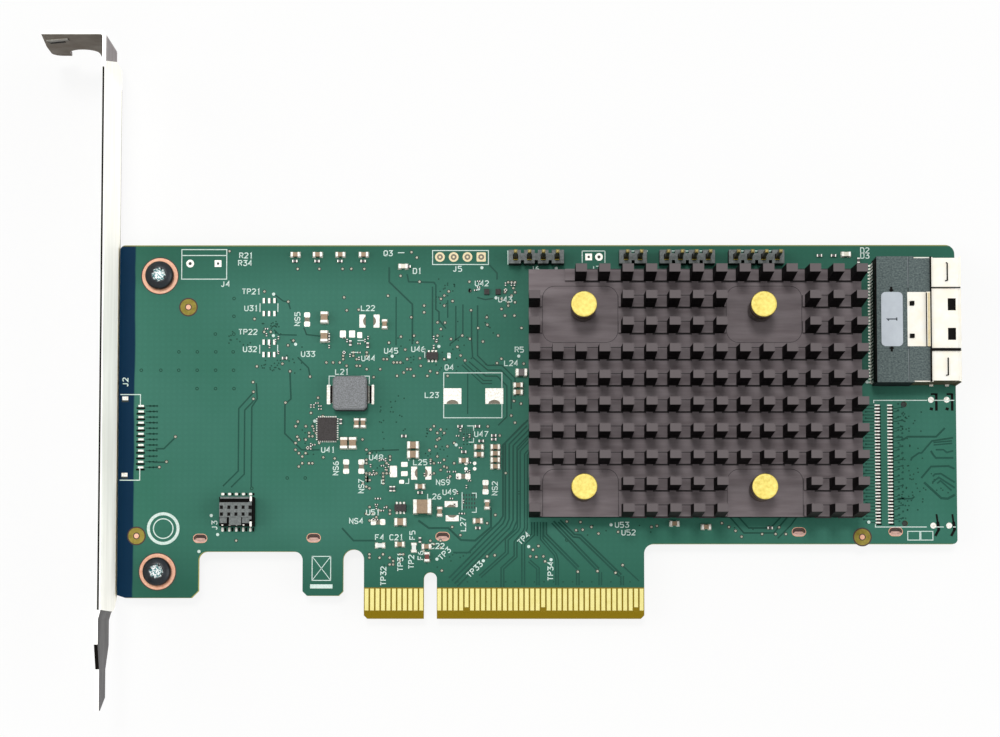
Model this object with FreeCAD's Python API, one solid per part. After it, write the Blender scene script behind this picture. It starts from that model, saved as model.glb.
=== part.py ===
"""Low-profile x8 storage controller card with a full-height mounting bracket.

The card lies flat with its component side up.  Z = 0 is the middle of the
board's thickness, and the origin is the centre of the key slot where it meets
the lower edge of the edge connector.  +X runs along the card away from the
bracket, +Y runs from the edge connector to the card's top edge.
"""

import math
import os

import FreeCAD
import Part

# Circuit board
board_thickness = 1.57
board_left = -57.4
board_right = 96.5
board_height = 68.9
board_shoulder_y = 13.7
corner_radius_left = 1.0
corner_radius_right = 1.7
corner_radius_lower = 0.8
shoulder_fillet = 1.8
leg_width = 14.9
leg_bottom_y = 3.8
leg_chamfer = 1.3
leg_corner_run = 1.5
leg_corner_rise = 0.5
relief_top_y = 12.3
relief_fillet = 1.6
hook_width = 7.4
hook_bottom_y = 4.2
hook_chamfer = 0.8
latch_slot_width = 3.85
latch_slot_top_y = 12.7

# Edge connector
key_width = 2.4
key_depth = 8.5
contact_pitch = 1.0
contact_width = 0.7
contact_thickness = 0.05
contacts_before_key = 11
contacts_after_key = 38
key_to_contact = 0.45
contact_end_gap = 0.15
contact_bottom_y = 1.5
contact_top_y = 5.5
short_contact_cut = 0.6
short_contacts = (17, 31, 48)
edge_bevel_height = 1.3
edge_bevel_depth = 0.35
tongue_chamfer = 0.6

# Bracket, folded from one sheet
sheet = 0.65
bracket_gap = 0.3
bracket_width = 18.42
bracket_top_y = 104.9
bracket_tip_y = -16.6
bend_radius = 0.4
top_tab_reach = 11.7
top_tab_setback = 2.8
top_tab_near_cut = 0.7
top_tab_near_cut_length = 9.0
top_tab_corner = 2.0
screw_notch_from_plate = 5.5
screw_notch_width = 5.4
screw_notch_depth = 7.4
fold_relief_width = 6.1
fold_relief_drop = 2.8
plate_bottom_y = 1.0
plate_corner_rise = 3.2
plate_corner_run = 3.4
plate_corner_radius = 1.5
plate_foot_rise = 0.4
plate_foot_radius = 3.0
tongue_joggle = 0.4
tongue_joggle_height = 1.4
tongue_root_width = 12.0
tongue_root_length = 5.9
tongue_blade_width = 6.8
tongue_blade_setback = 1.8
tongue_taper_length = 4.4
tongue_point_length = 2.3
tongue_tip_width = 1.4
board_tab_length = 12.0
board_tab_width = 8.0
board_tab_corner = 1.5

# Bracket screws
screw_from_board_end = 7.4
screw_ys = (8.6, 63.2)
screw_radius = 1.5
screw_hole_radius = 1.7
screw_head_radius = 2.65
screw_head_height = 1.9
screw_recess_length = 3.0
screw_recess_width = 0.75
screw_recess_depth = 1.3
screw_end_past_tab = 0.7

# Pin-fin heat sink
sink_port_gap = 2.63
sink_from_board_top = 5.4
fin_columns = 15
fin_rows = 10
column_pitch = 4.18
row_pitch = 4.775
fin_length = 2.0
fin_root = 2.2
fin_tip = 1.45
fin_height = 8.7
sink_base = 2.3
cross_cut_ridge = 0.7
pocket_columns = ((1, 3), (9, 11))
upper_pocket_rows = (1, 2)
lower_pocket_rows = (8, 9)
pocket_side_gap = 0.4
pocket_row_gap = 0.8
pocket_corner = 2.2
bare_corner_columns = 2

# Controller package under the sink
controller_off_sink_x = -4.36
controller_off_sink_y = -1.35
substrate_size = 27.0
substrate_thickness = 1.2
lid_size = 23.0
lid_thickness = 1.7
thermal_pad_size = 22.0
thermal_pad_thickness = 0.3

# Sprung push pins
push_pin_span_x = 32.15
push_pin_span_y = 32.7
push_pin_head_radius = 2.35
push_pin_head_height = 2.0
push_pin_head_above_floor = 6.3
push_pin_radius = 1.3
push_pin_hole_radius = 1.55
push_pin_barb_radius = 1.9
push_pin_barb_length = 2.6
push_pin_tip_radius = 0.8
push_pin_barb_facets = 12
spring_radius = 1.8
spring_wire = 0.45
spring_turns = 3.0
spring_steps_per_turn = 6

# Storage port
port_from_board_top = 14.7
port_front_inset = 0.1
port_height = 6.5
housing_length = 9.85
housing_groove_from_rear = 5.55
housing_groove_width = 0.3
housing_groove_depth = 0.2
mouth_height = 4.4
mouth_floor = 1.1
mouth_depth = 5.0
blade_thickness = 1.2
blade_reach = 3.6
blade_contact_pitch = 0.55
blade_end_margin = 0.35
blade_side_gap = 0.2
blade_contact_width = 0.3
blade_contact_thickness = 0.08
blade_contact_length = 5.5
port_contacts_per_row = 37
lead_pitch = 0.6
lead_width = 0.34
lead_thickness = 0.2
lead_height = 5.9
lead_foot_length = 1.0
lead_foot_recess = 0.35
shell_length = 5.4
shell_sheet = 0.25
shell_side_gap = 0.5
housing_past_shell = 0.3
shell_flare = 0.3
shell_flare_length = 0.5
shell_seams = (-5.45, 5.75)
shell_seam_width = 0.25
shell_wing_length = 3.1
shell_wing_step = 0.2
shell_slit_length = 3.1
shell_slit_width = 0.28
shell_slit_from_front = 2.4
shell_slit_offset = 8.65
shell_leg_xs = (4.45, 1.55)
shell_leg_width = 0.7
shell_leg_step = 0.35
shell_leg_length = 2.7
top_plate_tail_width = 9.9
top_plate_lip = 0.9
top_plate_lip_height = 0.35
latch_window = (1.45, 2.2)
latch_window_from_front = 1.65
latch_window_span = 5.4
small_hole = 0.7
small_hole_from_rear = 0.95
small_hole_span = 6.0
peg_radius = 0.5
peg_hole_radius = 0.55
peg_edge_inset = 0.55
peg_from_front = 9.5
peg_length = 1.2
label_length = 9.9
label_width = 3.9
label_thickness = 0.08
label_corner = 0.8
label_from_rear = 0.8

# Unpopulated second port: its peg holes in the board
spare_port_y = 28.4

# Pin headers along the top edge
header_pitch = 2.54
header_edge_gap = 2.55
header_body_width = 2.5
header_body_height = 2.54
header_notch_width = 0.6
header_notch_depth = 0.6
header_pin_side = 0.64
header_pin_above_board = 8.6
header_pin_below_board = 2.6
header_pin_point = 0.19
first_header_x = 15.6
header_gap_ab = 12.68
header_gap_bc = 4.86
header_gap_cd = 5.08
header_a_count = 4
header_b_count = 2
header_c_count = 4
header_d_count = 4

# Programming socket, 2 x 5
socket_x = -35.3
socket_y = 19.5
socket_pitch = 1.27
socket_columns = 5
socket_length = 6.35
socket_width = 5.3
socket_height = 3.4
socket_hole_side = 0.5
socket_hole_depth = 2.2
socket_lead_width = 0.4
socket_lead_thickness = 0.2
socket_lead_reach = 1.1

# Plated slots and locating holes: x, y
slot_length = 1.75
slot_width = 0.8
slot_end_cut = 0.3
plated_slots = ((-42.2, 14.7), (-21.4, 14.8), (2.25, 15.05), (67.5, 15.9), (85.2, 15.95))

# Power inductor
inductor_x = -14.7
inductor_y = 41.2
inductor_side = 6.25
inductor_height = 3.0
inductor_corner = 0.5
inductor_top_chamfer = 0.25
inductor_strap_width = 3.0
inductor_strap_thickness = 0.2
inductor_strap_rise = 1.3
inductor_foot = 1.4

# Chips: x, y
regulator_at = (-19.0, 34.8)
regulator_size = (3.5, 4.2, 0.9)
leaded_chips = ((0.3, 48.3), (-5.5, 20.3))
leaded_chip_size = (2.1, 1.3, 0.95)
chip_leads_per_side = 3
chip_lead_pitch = 0.65
chip_lead_width = 0.25
chip_lead_thickness = 0.15
chip_lead_reach = 0.4
tiny_chip_xs = (10.3, 12.4)
tiny_chip_size = (0.95, 1.0, 0.5)

# Two-ended chip parts: length, width, height, end-cap length
size_0603 = (1.6, 0.8, 0.8, 0.35)
size_0805 = (2.0, 1.25, 1.2, 0.45)
size_1210 = (3.2, 2.5, 2.2, 0.6)
size_fuse = (1.6, 0.8, 0.5, 0.3)
end_cap_lip = 0.02

# Their places: x, y, and 90 where the part stands across the card
top_row_gap = 1.8
tiny_chip_gap = 8.7
front_led_gap = 4.0
side_led_gap = 20.0
top_row_y = board_height - top_row_gap
capacitors_0603_at = (
    (-25.0, top_row_y, 0), (-20.9, top_row_y, 0), (-16.7, top_row_y, 0),
    (-12.4, top_row_y, 0),
    (-1.9, 24.2, 0), (8.9, 31.5, 0), (8.9, 30.1, 0), (6.1, 29.0, 0),
    (11.9, 31.5, 0), (11.9, 30.3, 0), (11.9, 29.1, 0), (11.9, 27.9, 0),
    (16.1, 42.9, 0), (16.1, 41.6, 0), (-5.6, 13.6, 0), (-0.7, 13.2, 0),
    (-8.5, 54.2, 90), (-13.6, 35.9, 90), (-12.4, 35.9, 90), (1.7, 19.6, 90),
    (10.4, 20.9, 90), (8.7, 17.9, 0),
)
# Below the controller: x from its middle, and share of the strip down to the board edge
below_controller = ((0.8, 0.3), (6.6, 0.25))
capacitors_0805_at = (
    (-19.6, 55.4, 90), (-19.6, 51.9, 90), (-15.9, 32.2, 90), (-14.3, 32.2, 90),
    (-3.2, 31.8, 0), (-3.2, 30.1, 0), (-5.5, 17.7, 0),
)
capacitor_1210_at = ((-1.45, 20.45, 0),)
ferrite_bead_at = ((16.7, 45.2, 0),)
fuses_at = ((-9.2, 13.4, 0), (-3.0, 13.0, 90))
diode_at = ((-0.6, 11.3, 90),)
leds_at = ((-5.1, board_height - front_led_gap, 0), (board_right - side_led_gap, top_row_y, 0))

# Levels and edges that follow from the sizes above
board_top = board_thickness / 2
board_back = -board_thickness / 2
tongue_left = -key_width / 2 - key_to_contact - (contacts_before_key - 1) * contact_pitch
tongue_left -= contact_width / 2 + contact_end_gap
tongue_right = key_width / 2 + key_to_contact + (contacts_after_key - 1) * contact_pitch
tongue_right += contact_width / 2 + contact_end_gap
hook_right = tongue_left - latch_slot_width
hook_left = hook_right - hook_width
relief_left = board_left + leg_width

screw_x = board_left + screw_from_board_end
plate_inner_x = board_left - bracket_gap
plate_outer_x = plate_inner_x - sheet
bracket_far_z = board_back - sheet
bracket_near_z = bracket_far_z + bracket_width

port_front = board_right - port_front_inset
shell_rear = port_front - shell_length
housing_rear = shell_rear - housing_length
port_top = board_top + port_height
port_y = board_height - port_from_board_top
blade_width = (port_contacts_per_row - 1) * blade_contact_pitch + 2 * blade_end_margin
mouth_width = blade_width + 2 * blade_side_gap
shell_width = mouth_width + 2 * (shell_side_gap + shell_sheet)
housing_width = shell_width + 2 * housing_past_shell
peg_span = housing_width - 2 * peg_edge_inset

substrate_top = board_top + substrate_thickness
lid_top = substrate_top + lid_thickness
sink_bottom = lid_top + thermal_pad_thickness
sink_floor = sink_bottom + sink_base
sink_top = sink_floor + fin_height
sink_half_x = (fin_columns - 1) * column_pitch / 2 + fin_length / 2
sink_half_y = (fin_rows - 1) * row_pitch / 2 + fin_root / 2
sink_centre_x = housing_rear - sink_port_gap - sink_half_x
sink_centre_y = board_height - sink_from_board_top - sink_half_y
controller_x = sink_centre_x + controller_off_sink_x
controller_y = sink_centre_y + controller_off_sink_y
strip_height = controller_y - substrate_size / 2 - board_shoulder_y
capacitors_0603_at += tuple(
    (controller_x + off_x, board_shoulder_y + share * strip_height, 0)
    for off_x, share in below_controller)
push_pins_at = [
    (controller_x + side_x * push_pin_span_x / 2, controller_y + side_y * push_pin_span_y / 2)
    for side_x in (-1, 1)
    for side_y in (-1, 1)
]
push_pin_head_bottom = sink_floor + push_pin_head_above_floor

mouth_bottom = board_top + mouth_floor
blade_middle = mouth_bottom + mouth_height / 2
peg_x = port_front - peg_from_front
header_y = board_height - header_edge_gap

# Each header's letter, first pin and number of pins
second_header_x = first_header_x + (header_a_count - 1) * header_pitch + header_gap_ab
third_header_x = second_header_x + (header_b_count - 1) * header_pitch + header_gap_bc
fourth_header_x = third_header_x + (header_c_count - 1) * header_pitch + header_gap_cd
headers = (
    ("a", first_header_x, header_a_count), ("b", second_header_x, header_b_count),
    ("c", third_header_x, header_c_count), ("d", fourth_header_x, header_d_count),
)

# How far a cutting solid runs past what it cuts
past = 1.0

vector = FreeCAD.Vector
up = vector(0, 0, 1)


def block(x0, x1, y0, y1, z0, z1):
    corner = vector(min(x0, x1), min(y0, y1), min(z0, z1))
    return Part.makeBox(abs(x1 - x0), abs(y1 - y0), abs(z1 - z0), corner)


def centred_block(x, y, size_x, size_y, z0, z1):
    return block(x - size_x / 2, x + size_x / 2, y - size_y / 2, y + size_y / 2, z0, z1)


def rod(x, y, radius, z0, z1):
    return Part.makeCylinder(radius, z1 - z0, vector(x, y, z0), up)


def tapered_prism(x, y, facets, radius_0, z0, radius_1, z1):
    """Flat-sided solid between two regular polygons about the vertical through (x, y)."""
    rings = []
    for radius, z in ((radius_0, z0), (radius_1, z1)):
        turns = [2 * math.pi * i / facets for i in range(facets)]
        ring = [vector(x + radius * math.cos(a), y + radius * math.sin(a), z) for a in turns]
        rings.append(ring)
    first, second = rings
    loops = [first, second]
    for i in range(facets):
        j = (i + 1) % facets
        loops.append([first[i], first[j], second[j], second[i]])
    faces = [Part.Face(Part.makePolygon(loop + loop[:1])) for loop in loops]
    return Part.makeSolid(Part.makeShell(faces))


def outline(corners, place):
    """Closed face through corners (u, v, kind, size); kind is sharp, round or cut."""
    count = len(corners)
    entries = []
    for i in range(count):
        u, v, kind, size = corners[i]
        here = vector(u, v, 0)
        before = vector(corners[i - 1][0], corners[i - 1][1], 0)
        after = vector(corners[(i + 1) % count][0], corners[(i + 1) % count][1], 0)
        back = (before - here).normalize()
        on = (after - here).normalize()
        if kind == "sharp":
            entries.append((here, here, None))
        elif kind == "cut":
            entries.append((here + back * size, here + on * size, None))
        else:
            half = back.getAngle(on) / 2
            reach = size / math.tan(half)
            centre = here + (back + on).normalize() * (size / math.sin(half))
            middle = centre + (here - centre).normalize() * size
            entries.append((here + back * reach, here + on * reach, middle))
    edges = []
    for i in range(count):
        start, end, middle = entries[i]
        if middle is not None:
            edges.append(Part.Arc(place(start), place(middle), place(end)).toShape())
        elif start.distanceToPoint(end) > 1e-6:
            edges.append(Part.makeLine(place(start), place(end)))
        next_start = entries[(i + 1) % count][0]
        if end.distanceToPoint(next_start) > 1e-6:
            edges.append(Part.makeLine(place(end), place(next_start)))
    return Part.Face(Part.Wire(edges))


def flat_plate(corners, z0, z1):
    face = outline(corners, lambda p: vector(p.x, p.y, z0))
    return face.extrude(vector(0, 0, z1 - z0))


def rounded_rectangle(x, y, size_x, size_y, radius, z0, z1):
    corners = [
        (x + side_x * size_x / 2, y + side_y * size_y / 2, "round", radius)
        for side_x, side_y in ((-1, -1), (1, -1), (1, 1), (-1, 1))
    ]
    return flat_plate(corners, z0, z1)


def slot(x, y, length, width, z0, z1):
    """Small slot with its four corners cut."""
    corners = [
        (x + side_x * length / 2, y + side_y * width / 2, "cut", width * slot_end_cut)
        for side_x, side_y in ((-1, -1), (1, -1), (1, 1), (-1, 1))
    ]
    return flat_plate(corners, z0, z1)


def contact_centres():
    """X of every edge contact, from the bracket side to the far side."""
    first_step = key_width / 2 + key_to_contact
    before = [-first_step - i * contact_pitch for i in range(contacts_before_key)]
    after = [first_step + i * contact_pitch for i in range(contacts_after_key)]
    return before[::-1] + after


def board_outline():
    return [
        (board_left, leg_bottom_y + leg_corner_rise, "sharp", 0),
        (board_left + leg_corner_run, leg_bottom_y, "sharp", 0),
        (relief_left, leg_bottom_y, "cut", leg_chamfer),
        (relief_left, relief_top_y, "round", relief_fillet),
        (hook_left, relief_top_y, "round", relief_fillet),
        (hook_left, hook_bottom_y, "cut", hook_chamfer),
        (hook_right, hook_bottom_y, "cut", hook_chamfer),
        (hook_right, board_shoulder_y, "sharp", 0),
        (tongue_left, board_shoulder_y, "sharp", 0),
        (tongue_left, 0, "cut", tongue_chamfer),
        (tongue_right, 0, "cut", tongue_chamfer),
        (tongue_right, board_shoulder_y, "round", shoulder_fillet),
        (board_right, board_shoulder_y, "round", corner_radius_lower),
        (board_right, board_height, "round", corner_radius_right),
        (board_left, board_height, "round", corner_radius_left),
    ]


def round_topped_slot(x, width, top_y):
    z0 = board_back - past
    z1 = board_top + past
    straight = block(x - width / 2, x + width / 2, -past, top_y - width / 2, z0, z1)
    return straight.fuse(rod(x, top_y - width / 2, width / 2, z0, z1)).removeSplitter()


def latch_slot_fill():
    """Board left standing around the round end of the latch slot."""
    x = (hook_right + tongue_left) / 2
    low = relief_top_y - latch_slot_width
    web = block(hook_right, tongue_left, low, board_shoulder_y, board_back, board_top)
    return web.cut(round_topped_slot(x, latch_slot_width, latch_slot_top_y))


def bevel_cutter(side):
    """Wedge that bevels one face of the edge connector along its lower edge."""
    outer = side * (board_top + past)
    slope = edge_bevel_depth / edge_bevel_height
    points = [
        vector(0, -past, outer),
        vector(0, edge_bevel_height + past / slope, outer),
        vector(0, -past, side * (board_top - edge_bevel_depth - past * slope)),
    ]
    face = Part.Face(Part.makePolygon(points + points[:1]))
    wedge = face.extrude(vector(tongue_right - tongue_left + 2 * past, 0, 0))
    wedge.translate(vector(tongue_left - past, 0, 0))
    return wedge


def header_pins_x():
    """X of every header pin; solder fills each hole round its pin."""
    return [start + i * header_pitch for letter, start, count in headers for i in range(count)]


def board_holes():
    z0 = board_back - past
    z1 = board_top + past
    holes = [rod(screw_x, y, screw_hole_radius, z0, z1) for y in screw_ys]
    holes += [rod(x, y, push_pin_hole_radius, z0, z1) for x, y in push_pins_at]
    for x in header_pins_x():
        holes.append(centred_block(x, header_y, header_pin_side, header_pin_side, z0, z1))
    for y in (port_y, spare_port_y):
        for side in (-1, 1):
            holes.append(rod(peg_x, y + side * peg_span / 2, peg_hole_radius, z0, z1))
    for from_front in shell_leg_xs:
        for side in (-1, 1):
            x = port_front - from_front
            y = port_y + side * (shell_width / 2 + shell_leg_step - shell_sheet / 2)
            holes.append(centred_block(x, y, shell_leg_width, shell_sheet, z0, z1))
    holes += [slot(x, y, slot_length, slot_width, z0, z1) for x, y in plated_slots]
    return holes


def circuit_board():
    board = flat_plate(board_outline(), board_back, board_top)
    board = board.fuse(latch_slot_fill()).removeSplitter()
    cutters = [round_topped_slot(0, key_width, key_depth)]
    cutters += [bevel_cutter(1), bevel_cutter(-1)]
    return board.cut(cutters + board_holes())


def edge_contacts(front):
    pads = []
    for number, x in enumerate(contact_centres(), 1):
        bottom = contact_bottom_y
        if front and number in short_contacts:
            bottom += short_contact_cut
        z0 = board_top if front else board_back - contact_thickness
        half = contact_width / 2
        pads.append(block(x - half, x + half, bottom, contact_top_y, z0, z0 + contact_thickness))
    return Part.makeCompound(pads)


def folded_sheet():
    """The bracket's section: plate, top fold and the stepped tongue, full width."""
    step_top = plate_bottom_y
    step_bottom = plate_bottom_y - tongue_joggle_height
    tab_end = plate_outer_x - top_tab_reach
    corners = [
        (plate_inner_x, step_top, "sharp", 0),
        (plate_inner_x, bracket_top_y, "round", bend_radius + sheet),
        (tab_end, bracket_top_y, "sharp", 0),
        (tab_end, bracket_top_y - sheet, "sharp", 0),
        (plate_outer_x, bracket_top_y - sheet, "round", bend_radius),
        (plate_outer_x, step_top, "sharp", 0),
        (plate_outer_x - tongue_joggle, step_bottom, "sharp", 0),
        (plate_outer_x - tongue_joggle, bracket_tip_y, "sharp", 0),
        (plate_inner_x - tongue_joggle, bracket_tip_y, "sharp", 0),
        (plate_inner_x - tongue_joggle, step_bottom, "sharp", 0),
    ]
    return flat_plate(corners, bracket_far_z, bracket_near_z)


def bracket_silhouette():
    """The blank's outline seen along X, as a thick slab to cut the sheet with."""
    near = bracket_near_z
    blade_near = near - tongue_blade_setback
    blade_far = blade_near - tongue_blade_width
    root_far = near - tongue_root_width
    root_end = plate_bottom_y - tongue_root_length
    blade_start = root_end - tongue_taper_length
    corners = [
        (bracket_top_y + past, near, "sharp", 0),
        (root_end, near, "sharp", 0),
        (blade_start, blade_near, "sharp", 0),
        (bracket_tip_y, blade_near, "sharp", 0),
        (bracket_tip_y, blade_near - tongue_tip_width, "sharp", 0),
        (bracket_tip_y + tongue_point_length, blade_far, "sharp", 0),
        (blade_start, blade_far, "sharp", 0),
        (root_end, root_far, "sharp", 0),
        (plate_bottom_y, root_far, "sharp", 0),
        (plate_bottom_y + plate_foot_rise, bracket_far_z + plate_corner_run, "round", plate_foot_radius),
        (plate_bottom_y + plate_corner_rise, bracket_far_z, "round", plate_corner_radius),
        (bracket_top_y + past, bracket_far_z, "sharp", 0),
    ]
    slab_start = plate_outer_x - top_tab_reach - past
    face = outline(corners, lambda p: vector(slab_start, p.x, p.y))
    return face.extrude(vector(plate_inner_x + past - slab_start, 0, 0))


def top_tab_cutters():
    """Screw notch, fold relief, setback edge and rounded corner of the top tab."""
    y0 = bracket_top_y - sheet - bend_radius - 0.1
    y1 = bracket_top_y + past
    notch_x = plate_outer_x - screw_notch_from_plate
    radius = screw_notch_width / 2
    arc_z = bracket_far_z + screw_notch_depth - radius
    below = bracket_far_z - past
    notch = block(notch_x - radius, notch_x + radius, y0, y1, below, arc_z)
    notch = notch.fuse(Part.makeCylinder(radius, y1 - y0, vector(notch_x, y0, arc_z), vector(0, 1, 0)))
    relief_x = plate_outer_x - bend_radius - sheet
    relief_y = bracket_top_y - fold_relief_drop
    relief_z = bracket_far_z + fold_relief_width
    relief = block(relief_x, plate_inner_x + past, relief_y, y1, below, relief_z)
    end_x = plate_outer_x - top_tab_reach
    setback_z = bracket_far_z + top_tab_setback
    setback = block(end_x - past, notch_x - radius, y0, y1, below, setback_z)
    corner = block(end_x - past, end_x + top_tab_corner, y0, y1, below, setback_z + top_tab_corner)
    centre = vector(end_x + top_tab_corner, y0, setback_z + top_tab_corner)
    keep = Part.makeCylinder(top_tab_corner, y1 - y0, centre, vector(0, 1, 0))
    near_cut = [
        vector(end_x - past, y0, bracket_near_z + past),
        vector(end_x - past, y0, bracket_near_z - top_tab_near_cut_length),
        vector(end_x, y0, bracket_near_z - top_tab_near_cut_length),
        vector(end_x + top_tab_near_cut, y0, bracket_near_z),
        vector(end_x + top_tab_near_cut, y0, bracket_near_z + past),
    ]
    face = Part.Face(Part.makePolygon(near_cut + near_cut[:1]))
    taper = face.extrude(vector(0, y1 - y0, 0))
    return [notch, relief, setback, corner.cut(keep), taper]


def bracket():
    sheet_body = folded_sheet().common(bracket_silhouette())
    tabs = []
    for y in screw_ys:
        low = y - board_tab_width / 2
        high = y + board_tab_width / 2
        right = plate_inner_x + board_tab_length
        corners = [
            (plate_outer_x + sheet / 2, low, "sharp", 0),
            (right, low, "round", board_tab_corner),
            (right, high, "round", board_tab_corner),
            (plate_outer_x + sheet / 2, high, "sharp", 0),
        ]
        tabs.append(flat_plate(corners, bracket_far_z, board_back))
    body = sheet_body.cut(top_tab_cutters()).fuse(tabs)
    holes = [rod(screw_x, y, screw_radius, bracket_far_z - past, board_top) for y in screw_ys]
    return body.cut(holes).removeSplitter()


def bracket_screw(x, y):
    top = board_top + screw_head_height
    screw = rod(x, y, screw_radius, bracket_far_z - screw_end_past_tab, board_top)
    screw = screw.fuse(rod(x, y, screw_head_radius, board_top, top)).removeSplitter()
    floor = top - screw_recess_depth
    along = centred_block(x, y, screw_recess_length, screw_recess_width, floor, top + past)
    across = centred_block(x, y, screw_recess_width, screw_recess_length, floor, top + past)
    return screw.cut([along, across])


def column_x(i):
    return sink_centre_x + (i - (fin_columns - 1) / 2) * column_pitch


def row_y(j):
    return sink_centre_y + ((fin_rows - 1) / 2 - j) * row_pitch


def fin_profile():
    """Section across the extrusion: a flat base with a row of tapered fins."""
    left = sink_centre_y - sink_half_y
    right = sink_centre_y + sink_half_y
    points = [(left, sink_bottom), (left, sink_floor)]
    for j in reversed(range(fin_rows)):
        y = row_y(j)
        points += [
            (y - fin_root / 2, sink_floor), (y - fin_tip / 2, sink_top),
            (y + fin_tip / 2, sink_top), (y + fin_root / 2, sink_floor),
        ]
    points += [(right, sink_floor), (right, sink_bottom)]
    kept = [p for p, q in zip(points, points[1:] + points[:1]) if math.dist(p, q) > 1e-6]
    start_x = sink_centre_x - sink_half_x
    loop = [vector(start_x, y, z) for y, z in kept]
    return Part.Face(Part.makePolygon(loop + loop[:1]))


def push_pin_pockets():
    pockets = []
    top = sink_top + past
    for first, last in pocket_columns:
        x0 = column_x(first - 1) + fin_length / 2 + pocket_side_gap
        x1 = column_x(last + 1) - fin_length / 2 - pocket_side_gap
        for first_row, last_row in (upper_pocket_rows, lower_pocket_rows):
            y1 = row_y(first_row - 1) - fin_root / 2 - pocket_row_gap
            y0 = row_y(last_row + 1) + fin_root / 2 + pocket_row_gap
            if last_row == fin_rows - 1:
                y0 = sink_centre_y - sink_half_y - 2 * pocket_corner
            middle_x = (x0 + x1) / 2
            middle_y = (y0 + y1) / 2
            pockets.append(rounded_rectangle(
                middle_x, middle_y, x1 - x0, y1 - y0, pocket_corner, sink_floor, top))
    return pockets


def heat_sink():
    start_x = sink_centre_x - sink_half_x
    start_y = sink_centre_y - sink_half_y
    body = fin_profile().extrude(vector(2 * sink_half_x, 0, 0))
    cross_cuts = []
    for i in range(fin_columns - 1):
        cross_cuts.append(block(
            column_x(i) + fin_length / 2, column_x(i + 1) - fin_length / 2,
            start_y - past, sink_centre_y + sink_half_y + past,
            sink_floor + cross_cut_ridge, sink_top + past))
    bare_corner = block(
        start_x - past, column_x(bare_corner_columns - 1) + fin_length / 2 + pocket_side_gap,
        row_y(0) - fin_root / 2 - pocket_side_gap, sink_centre_y + sink_half_y + past,
        sink_floor, sink_top + past)
    holes = [rod(x, y, push_pin_hole_radius, sink_bottom - past, sink_top) for x, y in push_pins_at]
    return body.cut(cross_cuts).cut(push_pin_pockets() + [bare_corner]).cut(holes)


def push_pin(x, y):
    """Flat-headed pin with a faceted barb that has snapped through the board."""
    head_top = push_pin_head_bottom + push_pin_head_height
    shank = rod(x, y, push_pin_radius, board_back, push_pin_head_bottom)
    head = rod(x, y, push_pin_head_radius, push_pin_head_bottom, head_top)
    barb = tapered_prism(
        x, y, push_pin_barb_facets, push_pin_tip_radius, board_back - push_pin_barb_length,
        push_pin_barb_radius, board_back)
    return shank.fuse([head, barb]).removeSplitter()


def push_pin_spring(x, y):
    """Coil between the sink's floor and the pin's head, with wire of square section."""
    half = spring_wire / 2
    steps = int(spring_turns * spring_steps_per_turn)
    rise = (push_pin_head_above_floor - spring_wire) / steps
    sections = []
    for i in range(steps + 1):
        angle = 2 * math.pi * i / spring_steps_per_turn
        z = sink_floor + half + i * rise
        points = []
        for out, lift in ((-half, -half), (half, -half), (half, half), (-half, half)):
            reach = spring_radius + out
            points.append(vector(x + reach * math.cos(angle), y + reach * math.sin(angle), z + lift))
        sections.append(Part.makePolygon(points + points[:1]))
    return Part.makeLoft(sections, True, True)


def port_housing():
    half = housing_width / 2
    body = block(housing_rear, shell_rear, port_y - half, port_y + half, board_top, port_top)
    groove_x = housing_rear + housing_groove_from_rear
    groove_z = port_top - housing_groove_depth
    groove = block(
        groove_x, groove_x + housing_groove_width, port_y - half - past, port_y + half + past,
        groove_z, port_top + past)
    seat = block(
        groove_x, shell_rear + past, port_y - top_plate_tail_width / 2,
        port_y + top_plate_tail_width / 2, port_top - shell_sheet, port_top + past)
    mouth = block(
        shell_rear - mouth_depth, shell_rear + past, port_y - mouth_width / 2,
        port_y + mouth_width / 2, mouth_bottom, mouth_bottom + mouth_height)
    foot_recess = block(
        housing_rear - past, housing_rear + lead_foot_length + 0.3, port_y - half - past,
        port_y + half + past, board_top - past, board_top + lead_foot_recess)
    wing_recesses = []
    for side in (-1, 1):
        wing_recesses.append(block(
            shell_rear - shell_wing_length, shell_rear + past,
            port_y + side * (shell_width / 2 + shell_wing_step - shell_sheet),
            port_y + side * (half + past), board_top - past, port_top + past))
    blade = block(
        shell_rear - mouth_depth - 0.5, shell_rear + blade_reach,
        port_y - blade_width / 2, port_y + blade_width / 2,
        blade_middle - blade_thickness / 2, blade_middle + blade_thickness / 2)
    pegs = [
        rod(peg_x, port_y + side * peg_span / 2, peg_radius, board_top - peg_length, board_top + past)
        for side in (-1, 1)
    ]
    body = body.cut([groove, seat, mouth, foot_recess] + wing_recesses)
    return body.fuse([blade] + pegs).removeSplitter()


def port_leads():
    leads = []
    middle = (port_contacts_per_row - 1) / 2
    for i in range(port_contacts_per_row):
        y = port_y + (i - middle) * lead_pitch
        half = lead_width / 2
        x0 = housing_rear - lead_thickness
        upright = block(x0, housing_rear, y - half, y + half, board_top, board_top + lead_height)
        foot = block(
            x0, housing_rear + lead_foot_length, y - half, y + half,
            board_top, board_top + lead_thickness)
        leads.append(upright.fuse(foot).removeSplitter())
    return Part.makeCompound(leads)


def blade_contacts(side):
    """Contact row on the blade's upper (1) or lower (-1) face."""
    strips = []
    middle = (port_contacts_per_row - 1) / 2
    front = shell_rear + blade_reach - 0.5
    face = blade_middle + side * blade_thickness / 2
    for i in range(port_contacts_per_row):
        y = port_y + (i - middle) * blade_contact_pitch
        half = blade_contact_width / 2
        strips.append(block(
            front - blade_contact_length, front, y - half, y + half,
            face, face + side * blade_contact_thickness))
    return Part.makeCompound(strips)


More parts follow.
